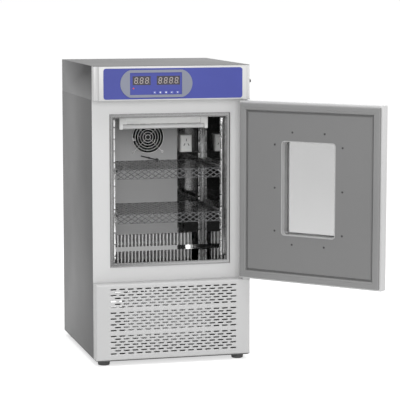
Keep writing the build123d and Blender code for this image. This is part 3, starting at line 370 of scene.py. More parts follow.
print_white = finish("white print", (0.75, 0.76, 0.8), 0.03, (0.35, 0.45), bump=0.02)
lens_red = finish("red lens", (0.7, 0.03, 0.03), 0.1, (0.1, 0.2), bump=0.02, coat=0.5)
board_green = finish("circuit board", (0.02, 0.14, 0.05), 0.2, (0.4, 0.5), bump=0.1)
print("finishes so far:", len(bpy.data.materials))

# %% [markdown]
# The floor glows a little where it is seen, so that it reads as white paper
# and still darkens in the cabinet's shadow. The glow lights nothing else: only
# rays from the camera, and rays in metal and glass, meet it.

# %% Floor paint
floor_glow = 0.62
floor_paint = finish("floor white", (0.8, 0.8, 0.8), 0.004, (0.6, 0.7), bump=0.0, specular=0.0)
floor_mesh.materials.append(floor_paint)


def seen_directly(tree):
    """1 for rays from the camera and for rays in metal and glass, else 0."""
    rays = tree.nodes.new("ShaderNodeLightPath")
    seen = add_node(tree, "ShaderNodeMath", operation="MAXIMUM")
    seen_too = add_node(tree, "ShaderNodeMath", operation="MAXIMUM")
    tree.links.new(rays.outputs["Is Camera Ray"], seen.inputs[0])
    tree.links.new(rays.outputs["Is Glossy Ray"], seen.inputs[1])
    tree.links.new(seen.outputs[0], seen_too.inputs[0])
    tree.links.new(rays.outputs["Is Transmission Ray"], seen_too.inputs[1])
    return seen_too.outputs[0]


tree = floor_paint.node_tree
lift = add_node(tree, "ShaderNodeMath", operation="MULTIPLY")
lift.inputs[1].default_value = floor_glow
tree.links.new(seen_directly(tree), lift.inputs[0])
floor_shader = tree.nodes["Principled BSDF"]
floor_shader.inputs["Emission Color"].default_value = (1.0, 1.0, 1.0, 1.0)
tree.links.new(lift.outputs[0], floor_shader.inputs["Emission Strength"])
print("floor glow:", floor_glow)

# %% [markdown]
# Window glass is a plain transmitting shader with a slight grey tint. Its
# roughness and metallic stay fixed, and only a very slow ripple of the
# surface is procedural, as on real float glass.

# %% Glass
glass_roughness = 0.02
glass_bending = 1.1
tint_drift = 0.01


def glass_finish(name, tint, ripple):
    """Tinted clear glass with a slow ripple."""
    material = bpy.data.materials.new(name)
    material.use_nodes = True
    tree = material.node_tree
    shader = tree.nodes["Principled BSDF"]
    shader.inputs["Transmission Weight"].default_value = 1.0
    shader.inputs["Roughness"].default_value = glass_roughness
    shader.inputs["IOR"].default_value = glass_bending
    place = add_node(tree, "ShaderNodeTexCoord")
    noise = add_node(tree, "ShaderNodeTexNoise", in_Scale=6.0, in_Detail=1.0)
    tone = add_node(tree, "ShaderNodeMix", data_type="RGBA")
    tone.inputs["A"].default_value = [c * (1 - tint_drift) for c in tint] + [1.0]
    tone.inputs["B"].default_value = [min(1.0, c * (1 + tint_drift)) for c in tint] + [1.0]
    relief = add_node(tree, "ShaderNodeBump", in_Strength=ripple, in_Distance=0.0001)
    tree.links.new(place.outputs["Object"], noise.inputs["Vector"])
    tree.links.new(noise.outputs["Fac"], tone.inputs["Factor"])
    tree.links.new(tone.outputs["Result"], shader.inputs["Base Color"])
    tree.links.new(noise.outputs["Fac"], relief.inputs["Height"])
    tree.links.new(relief.outputs["Normal"], shader.inputs["Normal"])
    return material


pane_glass = glass_finish("window glass", (0.72, 0.72, 0.72), 0.05)
print("glass made:", pane_glass.name)

# %% [markdown]
# Every CAD node gets its finish in its material slots. Sheet edges in the
# real thing are never knife sharp, so a small Bevel modifier rounds them and
# lets them catch the light. A Weld modifier joins the split points first. The
# table of soft edges gives each rounding in millimetres.

# %% Finishes of the CAD nodes
finish_of = {
    "base_pan": dark_enamel, "left_side_panel": painted_shade_side_enamel, "right_side_panel": painted_shade_side_enamel,
    "rear_panel": dark_enamel, "rear_grille": dark_enamel, "control_hood": dark_enamel,
    "machine_deck": dark_enamel, "lower_front_panel": grille_enamel, "front_frame": pale_enamel,
    "control_fascia": fascia_enamel, "door_shell": pale_enamel, "chamber_trim": trim_steel,
    "chamber_liner": bright_steel, "chamber_insulation": foam_yellow, "door_insulation": foam_yellow,
    "duct_panel": duct_enamel, "socket_panel": painted_shade_socket_steel, "evaporator": fin_metal,
    "condenser": fin_metal, "front_pilasters": painted_light_strip_steel, "rear_pilasters": painted_light_strip_steel,
    "upper_runners": painted_light_strip_steel, "lower_runners": painted_light_strip_steel, "upper_shelf": mesh_zinc,
    "lower_shelf": mesh_zinc, "fan_guard": guard_plating, "fan_frame": black_plastic,
    "fan_rotor": black_plastic, "lamp_base": white_plastic, "lamp_holders": white_plastic,
    "lamp_tube": tube_white, "lamp_lead": white_plastic, "socket_outlet": white_plastic,
    "temperature_probe": black_plastic, "overlay_panel": film_blue, "display_bezel": bezel_silver,
    "left_display": display_dark, "right_display": display_dark, "indicator_lamp": lens_red,
    "control_board": board_green, "switch_housing": black_plastic, "power_rocker": black_plastic,
    "mains_inlet": black_plastic, "upper_hinge_bracket": bracket_metal,
    "lower_hinge_bracket": bracket_metal, "compressor": black_enamel, "door_liner": liner_grey,
    "door_gasket": seal_rubber, "window_surround": surround_silver, "outer_glass": pane_glass,
    "inner_glass": pane_glass, "liner_screws": screw_metal, "door_handle": black_plastic,
    "feet": foot_rubber,
}
finish_of.update({f"button_{n}": button_blue for n in range(1, 6)})
soft_edges = {
    "door_shell": 1.0, "control_fascia": 0.8, "control_hood": 0.8, "lamp_holders": 1.0, "lamp_base": 0.6,
    "socket_outlet": 1.2, "door_handle": 4.0, "feet": 2.0, "left_side_panel": 0.5, "right_side_panel": 0.5,
    "front_pilasters": 0.3, "rear_pilasters": 0.3, "mains_inlet": 0.8, "switch_housing": 0.4,
    "power_rocker": 0.6, "fan_frame": 1.0, "upper_hinge_bracket": 0.4, "lower_hinge_bracket": 0.4,
}
sharp_from = math.radians(32)
bevel_from = math.radians(40)
bevel_segments = 2
weld_distance = 0.00002
for node_name, node in nodes.items():
    node.data.materials.clear()
    node.data.materials.append(finish_of[node_name])
    node.data.set_sharp_from_angle(angle=sharp_from)
    if node_name in soft_edges:
        weld = node.modifiers.new("weld", "WELD")
        weld.merge_threshold = weld_distance
        bevel = node.modifiers.new("soft edge", "BEVEL")
        bevel.width = soft_edges[node_name] / mm
        bevel.segments = bevel_segments
        bevel.angle_limit = bevel_from
        bevel.use_clamp_overlap = True
print("finished nodes:", len(finish_of))

# %% [markdown]
# The shelves are expanded metal: a sheet that was slit and pulled open, so
# that each strand stands a little on edge. An image of a mesh would look flat
# from the side, so every strand is a small leaned bar between two bonds. This
# cell makes one bar and a lattice of them. It counts in metres.

# %% Expanded metal
long_way = 0.0235
strand_width = 0.0026
strand_gauge = 0.0008
strand_lean = math.radians(3)


def bar(points, faces, start, end, wide, tall):
    """Adds a straight bar with a rectangular section."""
    base = len(points)
    for spot in (start, end):
        for a, b in ((-1, -1), (1, -1), (1, 1), (-1, 1)):
            points.append(spot + wide * a / 2 + tall * b / 2)
    faces.append((base, base + 1, base + 2, base + 3))
    faces.append((base + 4, base + 7, base + 6, base + 5))
    for k in range(4):
        n = (k + 1) % 4
        faces.append((base + k, base + 4 + k, base + 4 + n, base + n))


def expanded_lattice(points, faces, corner, u, v, width, length, short_way):
    """Strands over a rectangle: u runs along the diamonds, v across them."""
    normal = u.cross(v)
    columns = round(width / long_way)
    rows = max(1, round(length / short_way))
    step_u = u * (width / columns / 2)
    step_v = v * (length / rows / 2)
    for i in range(2 * columns):
        for j in range(2 * rows):
            if (i + j) % 2 == 0:
                start = corner + step_u * i + step_v * j
                end = corner + step_u * (i + 1) + step_v * (j + 1)
            else:
                start = corner + step_u * (i + 1) + step_v * j
                end = corner + step_u * i + step_v * (j + 1)
            run = (end - start).normalized()
            flat = run.cross(normal)
            wide = (flat * math.cos(strand_lean) + normal * math.sin(strand_lean)) * strand_width
            tall = (normal * math.cos(strand_lean) - flat * math.sin(strand_lean)) * strand_gauge
            bar(points, faces, start, end, wide, tall)


# %% [markdown]
# Each shelf is a tray in the box of its CAD node: a flat part, an apron at the
# front, hems along the edges and a folded strip at each side. The apron has
# diamonds of the real size. Those of the flat part are drawn twice as wide,
# because from the front it is seen almost edge on.

# %% Mesh shelves
plane_way = 0.034
lip_way = 0.017
hem_depth = 0.0018
hem_height = 0.0014
side_fold = 0.0098
side_gauge = 0.0012


def mesh_shelf(node_name):
    """A tray of expanded metal in the box of its CAD node."""
    low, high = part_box(node_name)
    pad = strand_width / 2
    x0, x1, y0, y1 = low.x + pad, high.x - pad, low.y + pad, high.y - pad
    top, foot = high.z - pad, low.z + pad
    across, back, down = Vector((1, 0, 0)), Vector((0, 1, 0)), Vector((0, 0, -1))
    points, faces = [], []
    expanded_lattice(points, faces, Vector((x0, y0, top)), across, back, x1 - x0, y1 - y0, plane_way)
    expanded_lattice(points, faces, Vector((x0, y0, top)), across, down, x1 - x0, top - foot, lip_way)
    wide, tall = Vector((0, hem_depth, 0)), Vector((0, 0, hem_height))
    for y, z in ((y0, top), (y1, top), (y0, foot)):
        bar(points, faces, Vector((x0, y, z)), Vector((x1, y, z)), wide, tall)
    for x in (x0, x1):
        bar(points, faces, Vector((x, y0, top - side_fold / 2)), Vector((x, y1, top - side_fold / 2)),
            Vector((side_gauge, 0, 0)), Vector((0, 0, side_fold)))
    piece = link(node_name + "_mesh", mesh_from(node_name + "_mesh", points, faces), node_name, mesh_zinc)
    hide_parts(node_name)
    print(piece.name, "strands:", len(faces) // 6)


mesh_shelf("upper_shelf")
mesh_shelf("lower_shelf")

# %% [markdown]
# The edging of the chamber and the seal of the door are both one section that
# is carried round a rectangle. The corner points are shared, which makes the
# mitres by itself. Each point of a section is its inset from the outer edge
# and its depth, in millimetres.

# %% Sections carried round a rectangle
def framed(name, x0, x1, z0, z1, section, place):
    """A closed section of (inset, y) points, in millimetres, round a rectangle."""
    points, faces = [], []
    for inset, y in section:
        for x, z in ((x0 + inset, z0 + inset), (x1 - inset, z0 + inset),
                     (x1 - inset, z1 - inset), (x0 + inset, z1 - inset)):
            points.append(place(x, y, z))
    count = len(section)
    for k in range(count):
        n = (k + 1) % count
        for c in range(4):
            d = (c + 1) % 4
            faces.append((4 * k + c, 4 * k + d, 4 * n + d, 4 * n + c))
    return mesh_from(name, points, faces)


# %% [markdown]
# The mouth of the chamber has a rolled edging with two ridges.

# %% Chamber edging
edge_x0, edge_x1 = drawing_box("chamber_trim")[:2]
edge_z0, edge_z1 = drawing_box("chamber_trim")[4:]
edge_x = (edge_x1 - edge_x0) / 2
trim_section = [(0, 48), (0, 46), (0.7, 45.2), (1.8, 45), (2.8, 45.4), (3.4, 46.3), (10.2, 46.3),
                (10.9, 45.4), (11.9, 45), (13.2, 45.2), (14, 46.2), (14, 54), (12.8, 54), (12.8, 48)]
trim = link("chamber_edging", framed("chamber_edging", -edge_x, edge_x, edge_z0, edge_z1, trim_section, at),
            "cabinet", trim_steel)
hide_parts("chamber_trim")
print("edging width:", round(2 * edge_x, 1))

# %% [markdown]
# The seal is a soft bellows with a flat face and a low ridge. It rides on the
# door, so its points go through the swing of the door.

# %% Door seal
seal_section = [(0, 37.2), (0.3, 44.6), (1.8, 46.6), (4, 47.2), (14, 47.2), (15.2, 46.4), (16.2, 46.4),
                (17.4, 47.0), (21, 46.6), (23, 45.2), (24, 42.5), (24, 37.2)]
door_half = 270.0
door_low, door_high = 286.0, 894.0
seal_inset = 6.0
seal_x = door_half - seal_inset
seal_z0, seal_z1 = door_low + seal_inset, door_high - seal_inset
seal = link("door_seal", framed("door_seal", -seal_x, seal_x, seal_z0, seal_z1, seal_section, at_door),
            "door", seal_rubber)
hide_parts("door_gasket")
print("seal width:", 2 * seal_x)

# %% [markdown]
# Round wire and pipes are tubes carried along a list of points. The tube has
# a ring of points at each stop, turned square to the path.

# %% Round wire
def wire(points, faces, path, radius, sides=8, closed=False):
    """Adds a round tube along a path of points."""
    base = len(points)
    count = len(path)
    for k, spot in enumerate(path):
        ahead = path[(k + 1) % count] if closed or k < count - 1 else spot
        behind = path[k - 1] if closed or k > 0 else spot
        run = (ahead - behind).normalized()
        helper = Vector((0, 1, 0)) if abs(run.y) < 0.9 else Vector((1, 0, 0))
        u = run.cross(helper).normalized()
        v = run.cross(u)
        for s in range(sides):
            a = 2 * math.pi * s / sides
            points.append(spot + u * (radius * math.cos(a)) + v * (radius * math.sin(a)))
    for k in range(count if closed else count - 1):
        n = (k + 1) % count
        for s in range(sides):
            t = (s + 1) % sides
            faces.append((base + k * sides + s, base + k * sides + t,
                          base + n * sides + t, base + n * sides + s))
    if not closed:
        faces.append(tuple(base + s for s in range(sides)))
        faces.append(tuple(base + (count - 1) * sides + s for s in reversed(range(sides))))


def circle(x, y, z, radius, count):
    """Points of a circle, in millimetres, that faces the front of the cabinet."""
    turns = [2 * math.pi * k / count for k in range(count)]
    return [at(x + radius * math.cos(turn), y, z + radius * math.sin(turn)) for turn in turns]


# %% [markdown]
# The fan guard is wire bent into rings and welded on two crossed arms, which
# end in screw eyes. The inner rings stand a little nearer to the wall, and
# they need fewer points. All lengths are millimetres until the tube is made.

# %% Fan guard
wall_y = 384.0
guard_radius = 58.0
ring_count = 6
ring_step = 9.6
ring_y = wall_y - 4.75
ring_sink = 0.28
ring_points = 56
points_less = 4
wire_radius = 1.25
arm_y = wall_y - 2.5
arm_start, arm_bend = 6.0, 40.0
arm_lap = 3.0
thin_arm, thick_arm = 0.7, 1.3
eye_reach = 52.5
eye_y = wall_y - 1.4
eye_radius = 3.6
eye_wire = 1.2
eye_points = 16
fan_z = drawing_middle("fan_guard")[1]
points, faces = [], []
for ring in range(ring_count):
    radius = guard_radius - wire_radius - ring * ring_step
    depth = ring_y + ring_sink * ring / (ring_count - 1)
    path = circle(0, depth, fan_z, radius, ring_points - points_less * ring)
    wire(points, faces, path, wire_radius / mm, closed=True)
for side_x in (-1, 1):
    for side_z in (-1, 1):
        spots = [at(side_x * reach, arm_y, fan_z + side_z * reach)
                 for reach in (arm_start, arm_bend, eye_reach - arm_lap)]
        wire(points, faces, spots[:2], thin_arm / mm)
        wire(points, faces, spots[1:], thick_arm / mm)
for x in (-eye_reach, eye_reach):
    for dz in (-eye_reach, eye_reach):
        eye = circle(x, eye_y, fan_z + dz, eye_radius, eye_points)
        wire(points, faces, eye, eye_wire / mm, closed=True)
guard_mesh = soften(mesh_from("fan_guard_wire", points, faces), 50)
guard = link("fan_guard_wire", guard_mesh, "cabinet", guard_plating)
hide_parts("fan_guard")
print("guard rings:", ring_count)

# %% [markdown]
# The cover of the machine space is one pressed sheet. Its slots have round
# ends. Each slot sits in a cell of the sheet whose border points line up with
# the staggered rows above and below, so that the mesh closes without seams.

# %% Slots and their cells
slot_half = 10.0
slot_radius = 2.2
pitch_x = 30.0
pitch_z = 10.0


def stadium(x, z):
    """Points round a slot, starting at its right end and going anticlockwise."""
    outline = []
    straight = slot_half - slot_radius
    for side, start in ((1, -90), (-1, 90)):
        for k in range(7):
            a = math.radians(start + 30 * k)
            outline.append((x + side * straight + slot_radius * math.cos(a),
                            z + slot_radius * math.sin(a)))
    return outline


def slotted_cell(work, x, z):
    """The sheet round one slot, as six faces that share its border points."""
    hole = [work.verts.new(at(px, 0, pz)) for px, pz in stadium(x, z)]
    hx, hz = pitch_x / 2, pitch_z / 2
    rim = [(x, z - hz), (x + hx, z - hz), (x + hx, z + hz),
           (x, z + hz), (x - hx, z + hz), (x - hx, z - hz)]
    corner = [work.verts.new(at(px, 0, pz)) for px, pz in rim]
    work.faces.new([corner[0], corner[1]] + [hole[k] for k in (3, 2, 1, 0)])
    work.faces.new([corner[1], corner[2], hole[3]])
    work.faces.new([corner[2], corner[3]] + [hole[k] for k in (6, 5, 4, 3)])
    work.faces.new([corner[3], corner[4]] + [hole[k] for k in (10, 9, 8, 7)] + [hole[6]])
    work.faces.new([corner[4], corner[5], hole[10]])
    work.faces.new([corner[5], corner[0], hole[0]] + [hole[k] for k in (13, 12, 11, 10)])


def plain_cell(work, x0, x1, z0, z1):
    """A plain piece of the sheet."""
    work.faces.new([work.verts.new(at(x, 0, z)) for x, z in ((x0, z0), (x1, z0), (x1, z1), (x0, z1))])


# %% [markdown]
# The flat sheet is laid out row by row. The rows come in groups of seven, with
# one plain row between the groups, and every other row is shifted by half a
# pitch. Points that fall on the same spot are then joined.

# %% Flat sheet of the cover
first_row_z = 43.0
row_count = 23
rows_in_group = 7
half_pitch = pitch_x / 2
field_half = 225.0
cover_half = 270.0
fold_radius = 6.0
join_distance = 0.00002
cover = bmesh.new()
cover_z0, cover_z1 = drawing_box("lower_front_panel")[4:]
row_levels = [first_row_z - pitch_z / 2 + row * pitch_z for row in range(row_count + 1)]
levels = [cover_z0 + fold_radius] + row_levels + [cover_z1 - fold_radius]
field_steps = [-field_half + half_pitch * k for k in range(round(2 * field_half / half_pitch) + 1)]
steps = [-cover_half + fold_radius] + field_steps + [cover_half - fold_radius]
for row in range(len(levels) - 1):
    z0, z1 = levels[row], levels[row + 1]
    index = row - 1
    has_slots = 0 <= index < row_count and index % (rows_in_group + 1) != rows_in_group
    offset = 1 if index % 2 else 0
    k = 0
    while k < len(steps) - 1:
        in_field = has_slots and k >= 1 + offset and k + 2 <= len(steps) - 1 - offset
        if in_field and (k - 1 - offset) % 2 == 0:
            slotted_cell(cover, steps[k + 1], (z0 + z1) / 2)
            k += 2
        else:
            plain_cell(cover, steps[k], steps[k + 1], z0, z1)
            k += 1
bmesh.ops.remove_doubles(cover, verts=cover.verts, dist=join_distance)
print("faces of the flat sheet:", len(cover.faces))

# %% [markdown]
# The outer edge is folded back in short steps along an arc, and then runs
# straight to the frame. Each step extrudes the edge and moves the new points
# outwards and back. A Solidify modifier at the end gives the sheet its gauge.

# %% Folded rim of the cover
fold_angles = (18, 36, 54, 72, 90)
fold_depth = 48.0
sheet_gauge = 0.0012
near = 0.01
flat_x, flat_z0, flat_z1 = cover_half - fold_radius, levels[0], levels[-1]


def flat_place(vert):
    """The x and z of a point of the flat sheet, in the drawing."""
    return (vert.co.x + origin_x) * mm, vert.co.z * mm


def outward(vert):
    """Which way the outer edge lies from a point: -1, 0 or 1 in x and in z."""
    x, z = flat_place(vert)
    return (x > flat_x - near) - (x < near - flat_x), (z > flat_z1 - near) - (z < flat_z0 + near)


edge_loop = [edge for edge in cover.edges
             if edge.is_boundary and all(any(outward(vert)) for vert in edge.verts)]
home = {vert: flat_place(vert) + outward(vert) for edge in edge_loop for vert in edge.verts}
fold_steps = [(fold_radius * math.sin(math.radians(a)), fold_radius * (1 - math.cos(math.radians(a))))
              for a in fold_angles] + [(fold_radius, fold_depth)]
for reach, y in fold_steps:
    made = bmesh.ops.extrude_edge_only(cover, edges=edge_loop)["geom"]
    fresh = [g for g in made if isinstance(g, bmesh.types.BMVert)]
    edge_loop = [g for g in made if isinstance(g, bmesh.types.BMEdge) and all(v in fresh for v in g.verts)]
    moved = {}
    for vert in fresh:
        parent = min(home, key=lambda h: (h.co - vert.co).length)
        moved[vert] = home[parent]
    for vert, (x, z, sx, sz) in moved.items():
        vert.co = at(x + sx * reach, y, z + sz * reach)
    home = moved
bmesh.ops.recalc_face_normals(cover, faces=cover.faces)
cover_mesh = bpy.data.meshes.new("slotted_cover")
cover.to_mesh(cover_mesh)
cover.free()
soften(cover_mesh, 30)
slotted_cover = link("slotted_cover", cover_mesh, "cabinet", grille_enamel)
gauge = slotted_cover.modifiers.new("gauge", "SOLIDIFY")
gauge.thickness = sheet_gauge
gauge.offset = -1.0
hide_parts("lower_front_panel")
print("cover faces:", len(cover_mesh.polygons), "fold steps:", len(fold_steps))

# %% [markdown]
# Printed marks and the bars of the digits are thin plates with an outline of
# (x, z) points, about a tenth of a millimetre thick.

# %% Printed shapes
print_lift = 0.12


def flat_shape(points, faces, outline, y, thickness):
    """Adds a thin upright plate with a given outline of (x, z) points."""
    base = len(points)
    count = len(outline)
    for depth in (y, y - thickness):
        points.extend(at(x, depth, z) for x, z in outline)
    faces.append(tuple(range(base, base + count)))
    faces.append(tuple(range(base + 2 * count - 1, base + count - 1, -1)))
    for k in range(count):
        n = (k + 1) % count
        faces.append((base + k, base + n, base + count + n, base + count + k))


# %% [markdown]
# The displays are off, so their seven-segment digits show only as pale, unlit
# bars behind the window.

# %% Digits
film_y = -0.8
digit_high = 21.0
digit_wide = 11.5
stroke = 2.3
digit_slant = math.tan(math.radians(7))
dot_gap = 2.2
dot_rise = 1.0
dot_size = 1.4


def digit(points, faces, x, z):
    """The seven bars of an eight, with pointed ends, and its decimal point."""
    w, h, t = digit_wide / 2 - stroke / 2, digit_high / 4 - stroke / 4, stroke / 2
    tip, shoulder = t * 0.4, t * 1.4
    flat_bar = [(-w + tip, 0), (-w + shoulder, t), (w - shoulder, t),
                (w - tip, 0), (w - shoulder, -t), (-w + shoulder, -t)]
    tall_bar = [(0, h - tip), (t, h - shoulder), (t, -h + shoulder),
                (0, -h + tip), (-t, -h + shoulder), (-t, h - shoulder)]
    bars = [(0, 2 * h, flat_bar), (0, 0, flat_bar), (0, -2 * h, flat_bar),
            (-w, h, tall_bar), (w, h, tall_bar), (-w, -h, tall_bar), (w, -h, tall_bar)]
    for cx, cz, shape in bars:
        outline = [(x + cx + px + (cz + pz) * digit_slant, z + cz + pz) for px, pz in shape]
        flat_shape(points, faces, outline, film_y, print_lift)
    dot_x, dot_z = x + w + dot_gap, z - digit_high / 2 + dot_rise
    dot = [(dot_x, dot_z), (dot_x + dot_size, dot_z),
           (dot_x + dot_size, dot_z + dot_size), (dot_x, dot_z + dot_size)]
    flat_shape(points, faces, dot, film_y, print_lift)


for name, places in (("left_display", (-18.5, 0.0, 18.5)), ("right_display", (-28.0, -9.3, 9.3, 28.0))):
    middle_x, middle_z = drawing_middle(name)
    points, faces = [], []
    for dx in places:
        digit(points, faces, middle_x + dx, middle_z)
    digits = link(name + "_digits", mesh_from(name + "_digits", points, faces), "cabinet", segment_grey)
    print(digits.name, "digits:", len(places))

# %% [markdown]
# The buttons carry plain arrows and blocks, which ride on the buttons.

# %% Button marks
arrow = [(-2.6, 0), (1.0, 2.6), (1.0, -2.6)]
block_mark = [(-2.2, -2.2), (2.2, -2.2), (2.2, 2.2), (-2.2, 2.2)]
bar_mark = [(1.8, -2.4), (2.6, -2.4), (2.6, 2.4), (1.8, 2.4)]
marks = [[arrow, bar_mark], [block_mark], [block_mark], [arrow], [arrow, bar_mark]]
for number, shapes in enumerate(marks, start=1):
    middle_x, middle_z = drawing_middle(f"button_{number}")
    cap_y = drawing_box(f"button_{number}")[2]
    points, faces = [], []
    for shape in shapes:
        flat_shape(points, faces, [(middle_x + x, middle_z + z) for x, z in shape], cap_y, print_lift)
    mark = link(f"button_mark_{number}", mesh_from(f"button_mark_{number}", points, faces),
                f"button_{number}", print_white)
print("button marks:", len(marks))

# %% [markdown]
# The cooling coil is a stack of thin upright fins pushed over level tubes. It
# shows under the duct panel, where the light only reaches the front of it, so
# plain fins and tubes in their real places give the stripes of the photo.

# %% Cooling coil
def block(points, faces, x0, x1, y0, y1, z0, z1):
    """Adds a box, in millimetres of the cabinet frame."""
    middle_y, middle_z = (y0 + y1) / 2, (z0 + z1) / 2
    bar(points, faces, at(x0, middle_y, middle_z), at(x1, middle_y, middle_z),
        Vector((0, (y1 - y0) / mm, 0)), Vector((0, 0, (z1 - z0) / mm)))


fin_pitch = 13.0
fin_gauge = 4.6
fin_start = 4.0
fin_depth = 84.0
fin_foot = 1.0
end_gauge = 2.0
tube_rows = 8
tube_lines = (34.0, 62.0)
tube_start = 14.0
tube_pitch = 25.4
tube_radius = 4.8
tube_sides = 12
tube_end = 1.0
coil_x0, coil_x1, coil_y0, coil_y1, coil_z0, coil_z1 = drawing_box("evaporator")
fin_count = int((coil_x1 - coil_x0 - 2 * fin_start) // fin_pitch)
points, faces = [], []
for k in range(fin_count + 1):
    x = coil_x0 + fin_start + k * fin_pitch
    block(points, faces, x, x + fin_gauge, coil_y0, coil_y0 + fin_depth, coil_z0 + fin_foot, coil_z1)
for x in (coil_x0, coil_x1 - end_gauge):
    block(points, faces, x, x + end_gauge, coil_y0, coil_y1, coil_z0, coil_z1)
for row in range(tube_rows):
    for line, reach in enumerate(tube_lines):
        y, z = coil_y0 + reach, coil_z0 + tube_start + tube_pitch * (row + line / 2)
        ends = [at(coil_x0 + tube_end, y, z), at(coil_x1 - tube_end, y, z)]
        wire(points, faces, ends, tube_radius / mm, sides=tube_sides)
coil = link("cooling_coil", soften(mesh_from("cooling_coil", points, faces)), "cabinet", fin_metal)
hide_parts("evaporator")
print("fins:", fin_count + 1, "tubes:", tube_rows * len(tube_lines))

# %% [markdown]
# The contacts of the outlet lie deep in its slots, so the slots lie in shade
# and look black from outside. Three dark bars are that painted shade, one
# upright at the top and two leaned ones.

# %% Painted shade in the outlet's slots
slot_shade_half_length = 4.6
slot_shade_half_width = 1.2
slot_shade_setback = 1.0
slot_shade_thickness = 0.98
outlet_x, outlet_z = drawing_middle("socket_outlet")
outlet_front = drawing_box("socket_outlet")[2]
points, faces = [], []


def slot_shade(x, z, turn):
    """A dark upright bar of painted shade, leaned by some degrees, in the outlet's face."""
    w, h = slot_shade_half_width, slot_shade_half_length
    c, d = math.cos(math.radians(turn)), math.sin(math.radians(turn))
    corners = [(-w, -h), (w, -h), (w, h), (-w, h)]
    outline = [(x + px * c - pz * d, z + px * d + pz * c) for px, pz in corners]
    flat_shape(points, faces, outline, outlet_front + slot_shade_setback, slot_shade_thickness)


slot_shade(outlet_x, outlet_z + 12.5, 0)
slot_shade(outlet_x - 7.5, outlet_z - 4, -30)
slot_shade(outlet_x + 7.5, outlet_z - 4, 30)
slot_shades = link("outlet_slot_shades", mesh_from("outlet_slot_shades", points, faces), "cabinet", black_plastic)
print("outlet slot shades made, middle at", round(outlet_x, 1), round(outlet_z, 1))

# %% [markdown]
# Screw heads are domes turned from a few rings, with a dimple for the driver.
# Each ring is a share of the head's radius and a share of its height.

# %% Screw head
head_sides = 14
head_rings = [(1.0, 0.0), (1.0, 0.35), (0.86, 0.72), (0.55, 0.96), (0.34, 1.0), (0.3, 0.55)]


def dome_screw(points, faces, centre, axis, radius, height):
    """Adds a domed head with a dimple, in metres, which stands on an upright surface."""
    u = axis.cross(Vector((0, 0, 1))).normalized()
    v = axis.cross(u)
    sides = head_sides
    base = len(points)
    for share, rise in head_rings:
        for s in range(sides):
            a = 2 * math.pi * s / sides
            spoke = u * math.cos(a) + v * math.sin(a)
            points.append(centre + axis * (height * rise) + spoke * radius * share)
    for k in range(len(head_rings) - 1):
        for s in range(sides):
            t = (s + 1) % sides
            faces.append((base + k * sides + s, base + k * sides + t,
                          base + (k + 1) * sides + t, base + (k + 1) * sides + s))
    faces.append(tuple(base + s for s in reversed(range(sides))))
    faces.append(tuple(base + (len(head_rings) - 1) * sides + s for s in range(sides)))


# %% [markdown]
# Small pan-head screws hold the door's inner panel round its window, and the
# sheets of the back along their edges and seams.

# %% Screws
liner_head_radius, liner_head_height = 3.5, 1.6
rear_head_radius, rear_head_height = 3.8, 1.8
door_axis = (at_door(0, 1, 0) - at_door(0, 0, 0)).normalized()
window_z = (door_low + door_high) / 2 + 15.5
liner_face = 43.2
side_screws = [(x, dz) for x in (-128, 128) for dz in (-146, 0, 146)]
level_screws = [(x, dz) for x in (-61, 61) for dz in (-189, 189)]
points, faces = [], []
for x, dz in side_screws + level_screws:
    dome_screw(points, faces, at_door(x, liner_face, window_z + dz), door_axis,
               liner_head_radius / mm, liner_head_height / mm)
head_mesh = soften(mesh_from("liner_screw_heads", points, faces))
liner_heads = link("liner_screw_heads", head_mesh, "door", screw_metal)
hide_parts("liner_screws")

rear_y = 590.0
back_axis = Vector((0, 1, 0))
edge_screws = [(x, z) for x in (-255, 255) for z in (45, 150, 255, 300, 450, 600, 750, 880, 925, 990)]
seam_screws = [(x, z) for x in (-130, 0, 130) for z in (271, 291, 890, 910)]
points, faces = [], []
for x, z in edge_screws + seam_screws:
    dome_screw(points, faces, at(x, rear_y, z), back_axis, rear_head_radius / mm, rear_head_height / mm)
head_mesh = soften(mesh_from("rear_screw_heads", points, faces))
rear_heads = link("rear_screw_heads", head_mesh, "cabinet", screw_metal)
print("screws:", len(side_screws + level_screws), "in the door,", len(edge_screws + seam_screws), "behind")

# %% [markdown]
# The studio is an even white world. It shows at its full strength to the
# camera and in glass and metal, and lights the object at half of it.

# %% World
world_light = 0.5
world_seen = 1.0
world = bpy.data.worlds.new("studio world")
bpy.context.scene.world = world
world.use_nodes = True
tree = world.node_tree
tree.nodes.clear()
strength = add_node(tree, "ShaderNodeMapRange")
strength.inputs["To Min"].default_value = world_light
strength.inputs["To Max"].default_value = world_seen
background = tree.nodes.new("ShaderNodeBackground")
background.inputs["Color"].default_value = (1.0, 1.0, 1.0, 1.0)
output = tree.nodes.new("ShaderNodeOutputWorld")
tree.links.new(seen_directly(tree), strength.inputs["Value"])
tree.links.new(strength.outputs["Result"], background.inputs["Strength"])
tree.links.new(background.outputs[0], output.inputs["Surface"])


print("world light:", world_light, "seen as:", world_seen)

# %% [markdown]
# Two soft square panels light the object: one overhead, and one high in front
# and a little to the left.

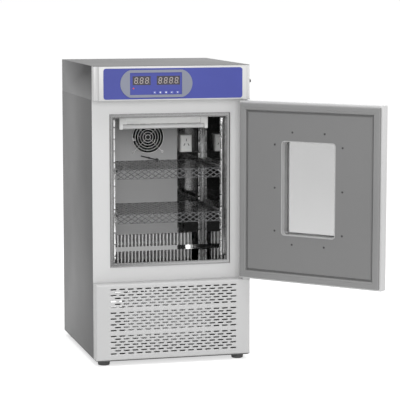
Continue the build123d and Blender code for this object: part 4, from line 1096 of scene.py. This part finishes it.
# %% Lamps
def soft_panel(name, spot, aim, size, power):
    """A square area lamp turned towards a point."""
    lamp = bpy.data.lights.new(name, "AREA")
    lamp.shape = "SQUARE"
    lamp.size = size
    lamp.energy = power
    holder = bpy.data.objects.new(name, lamp)
    bpy.context.scene.collection.objects.link(holder)
    holder.location = spot
    holder.rotation_mode = "QUATERNION"
    holder.rotation_quaternion = (Vector(aim) - Vector(spot)).to_track_quat("-Z", "Y")
    return holder


top_panel = soft_panel("top_panel", (0.3, -0.6, 4.2), (0, 0, 0.3), 3.0, 100)
front_panel = soft_panel("front_panel", (-0.7, -5.2, 2.1), (0, 0, 0.5), 2.4, 108)
for lamp in (top_panel, front_panel):
    print(lamp.name, "watts:", lamp.data.energy, "width:", lamp.data.size)

# %% [markdown]
# Polished steel shows whatever stands around it. In the studio that is a dark
# cloth at the front, with a narrow gap, and a part of it lies on the floor.
# The cloth is seen in reflections only.

# %% Dark cloth
cloth_left, gap_left, gap_right, cloth_right = -2.6, -0.84, -0.81, 0.1
cloth_y = -3.2
cloth_top = 2.4
floor_part_y = -0.9
floor_part_z = 0.004
points, faces = [], []
for x0, x1 in ((cloth_left, gap_left), (gap_right, cloth_right)):
    points += [(x0, cloth_y, 0.0), (x1, cloth_y, 0.0), (x1, cloth_y, cloth_top), (x0, cloth_y, cloth_top)]
for x, y in ((cloth_left, cloth_y), (cloth_right, cloth_y),
             (cloth_right, floor_part_y), (cloth_left, floor_part_y)):
    points.append((x, y, floor_part_z))
for base in range(0, len(points), 4):
    faces.append((base, base + 1, base + 2, base + 3))
cloth = link("dark_cloth", mesh_from("dark_cloth", points, faces), None)
cloth_black = finish("black cloth", (0.015, 0.015, 0.015), 0.2, (0.9, 1.0), bump=0.2, specular=0.1)
cloth.data.materials.append(cloth_black)
cloth.visible_camera = False
cloth.visible_diffuse = False
cloth.visible_shadow = False
cloth.visible_transmission = False
print("cloth parts:", len(faces))

# %% [markdown]
# The last cell takes the plain view of colours.

# %% Finish
bpy.context.scene.view_settings.view_transform = "Standard"
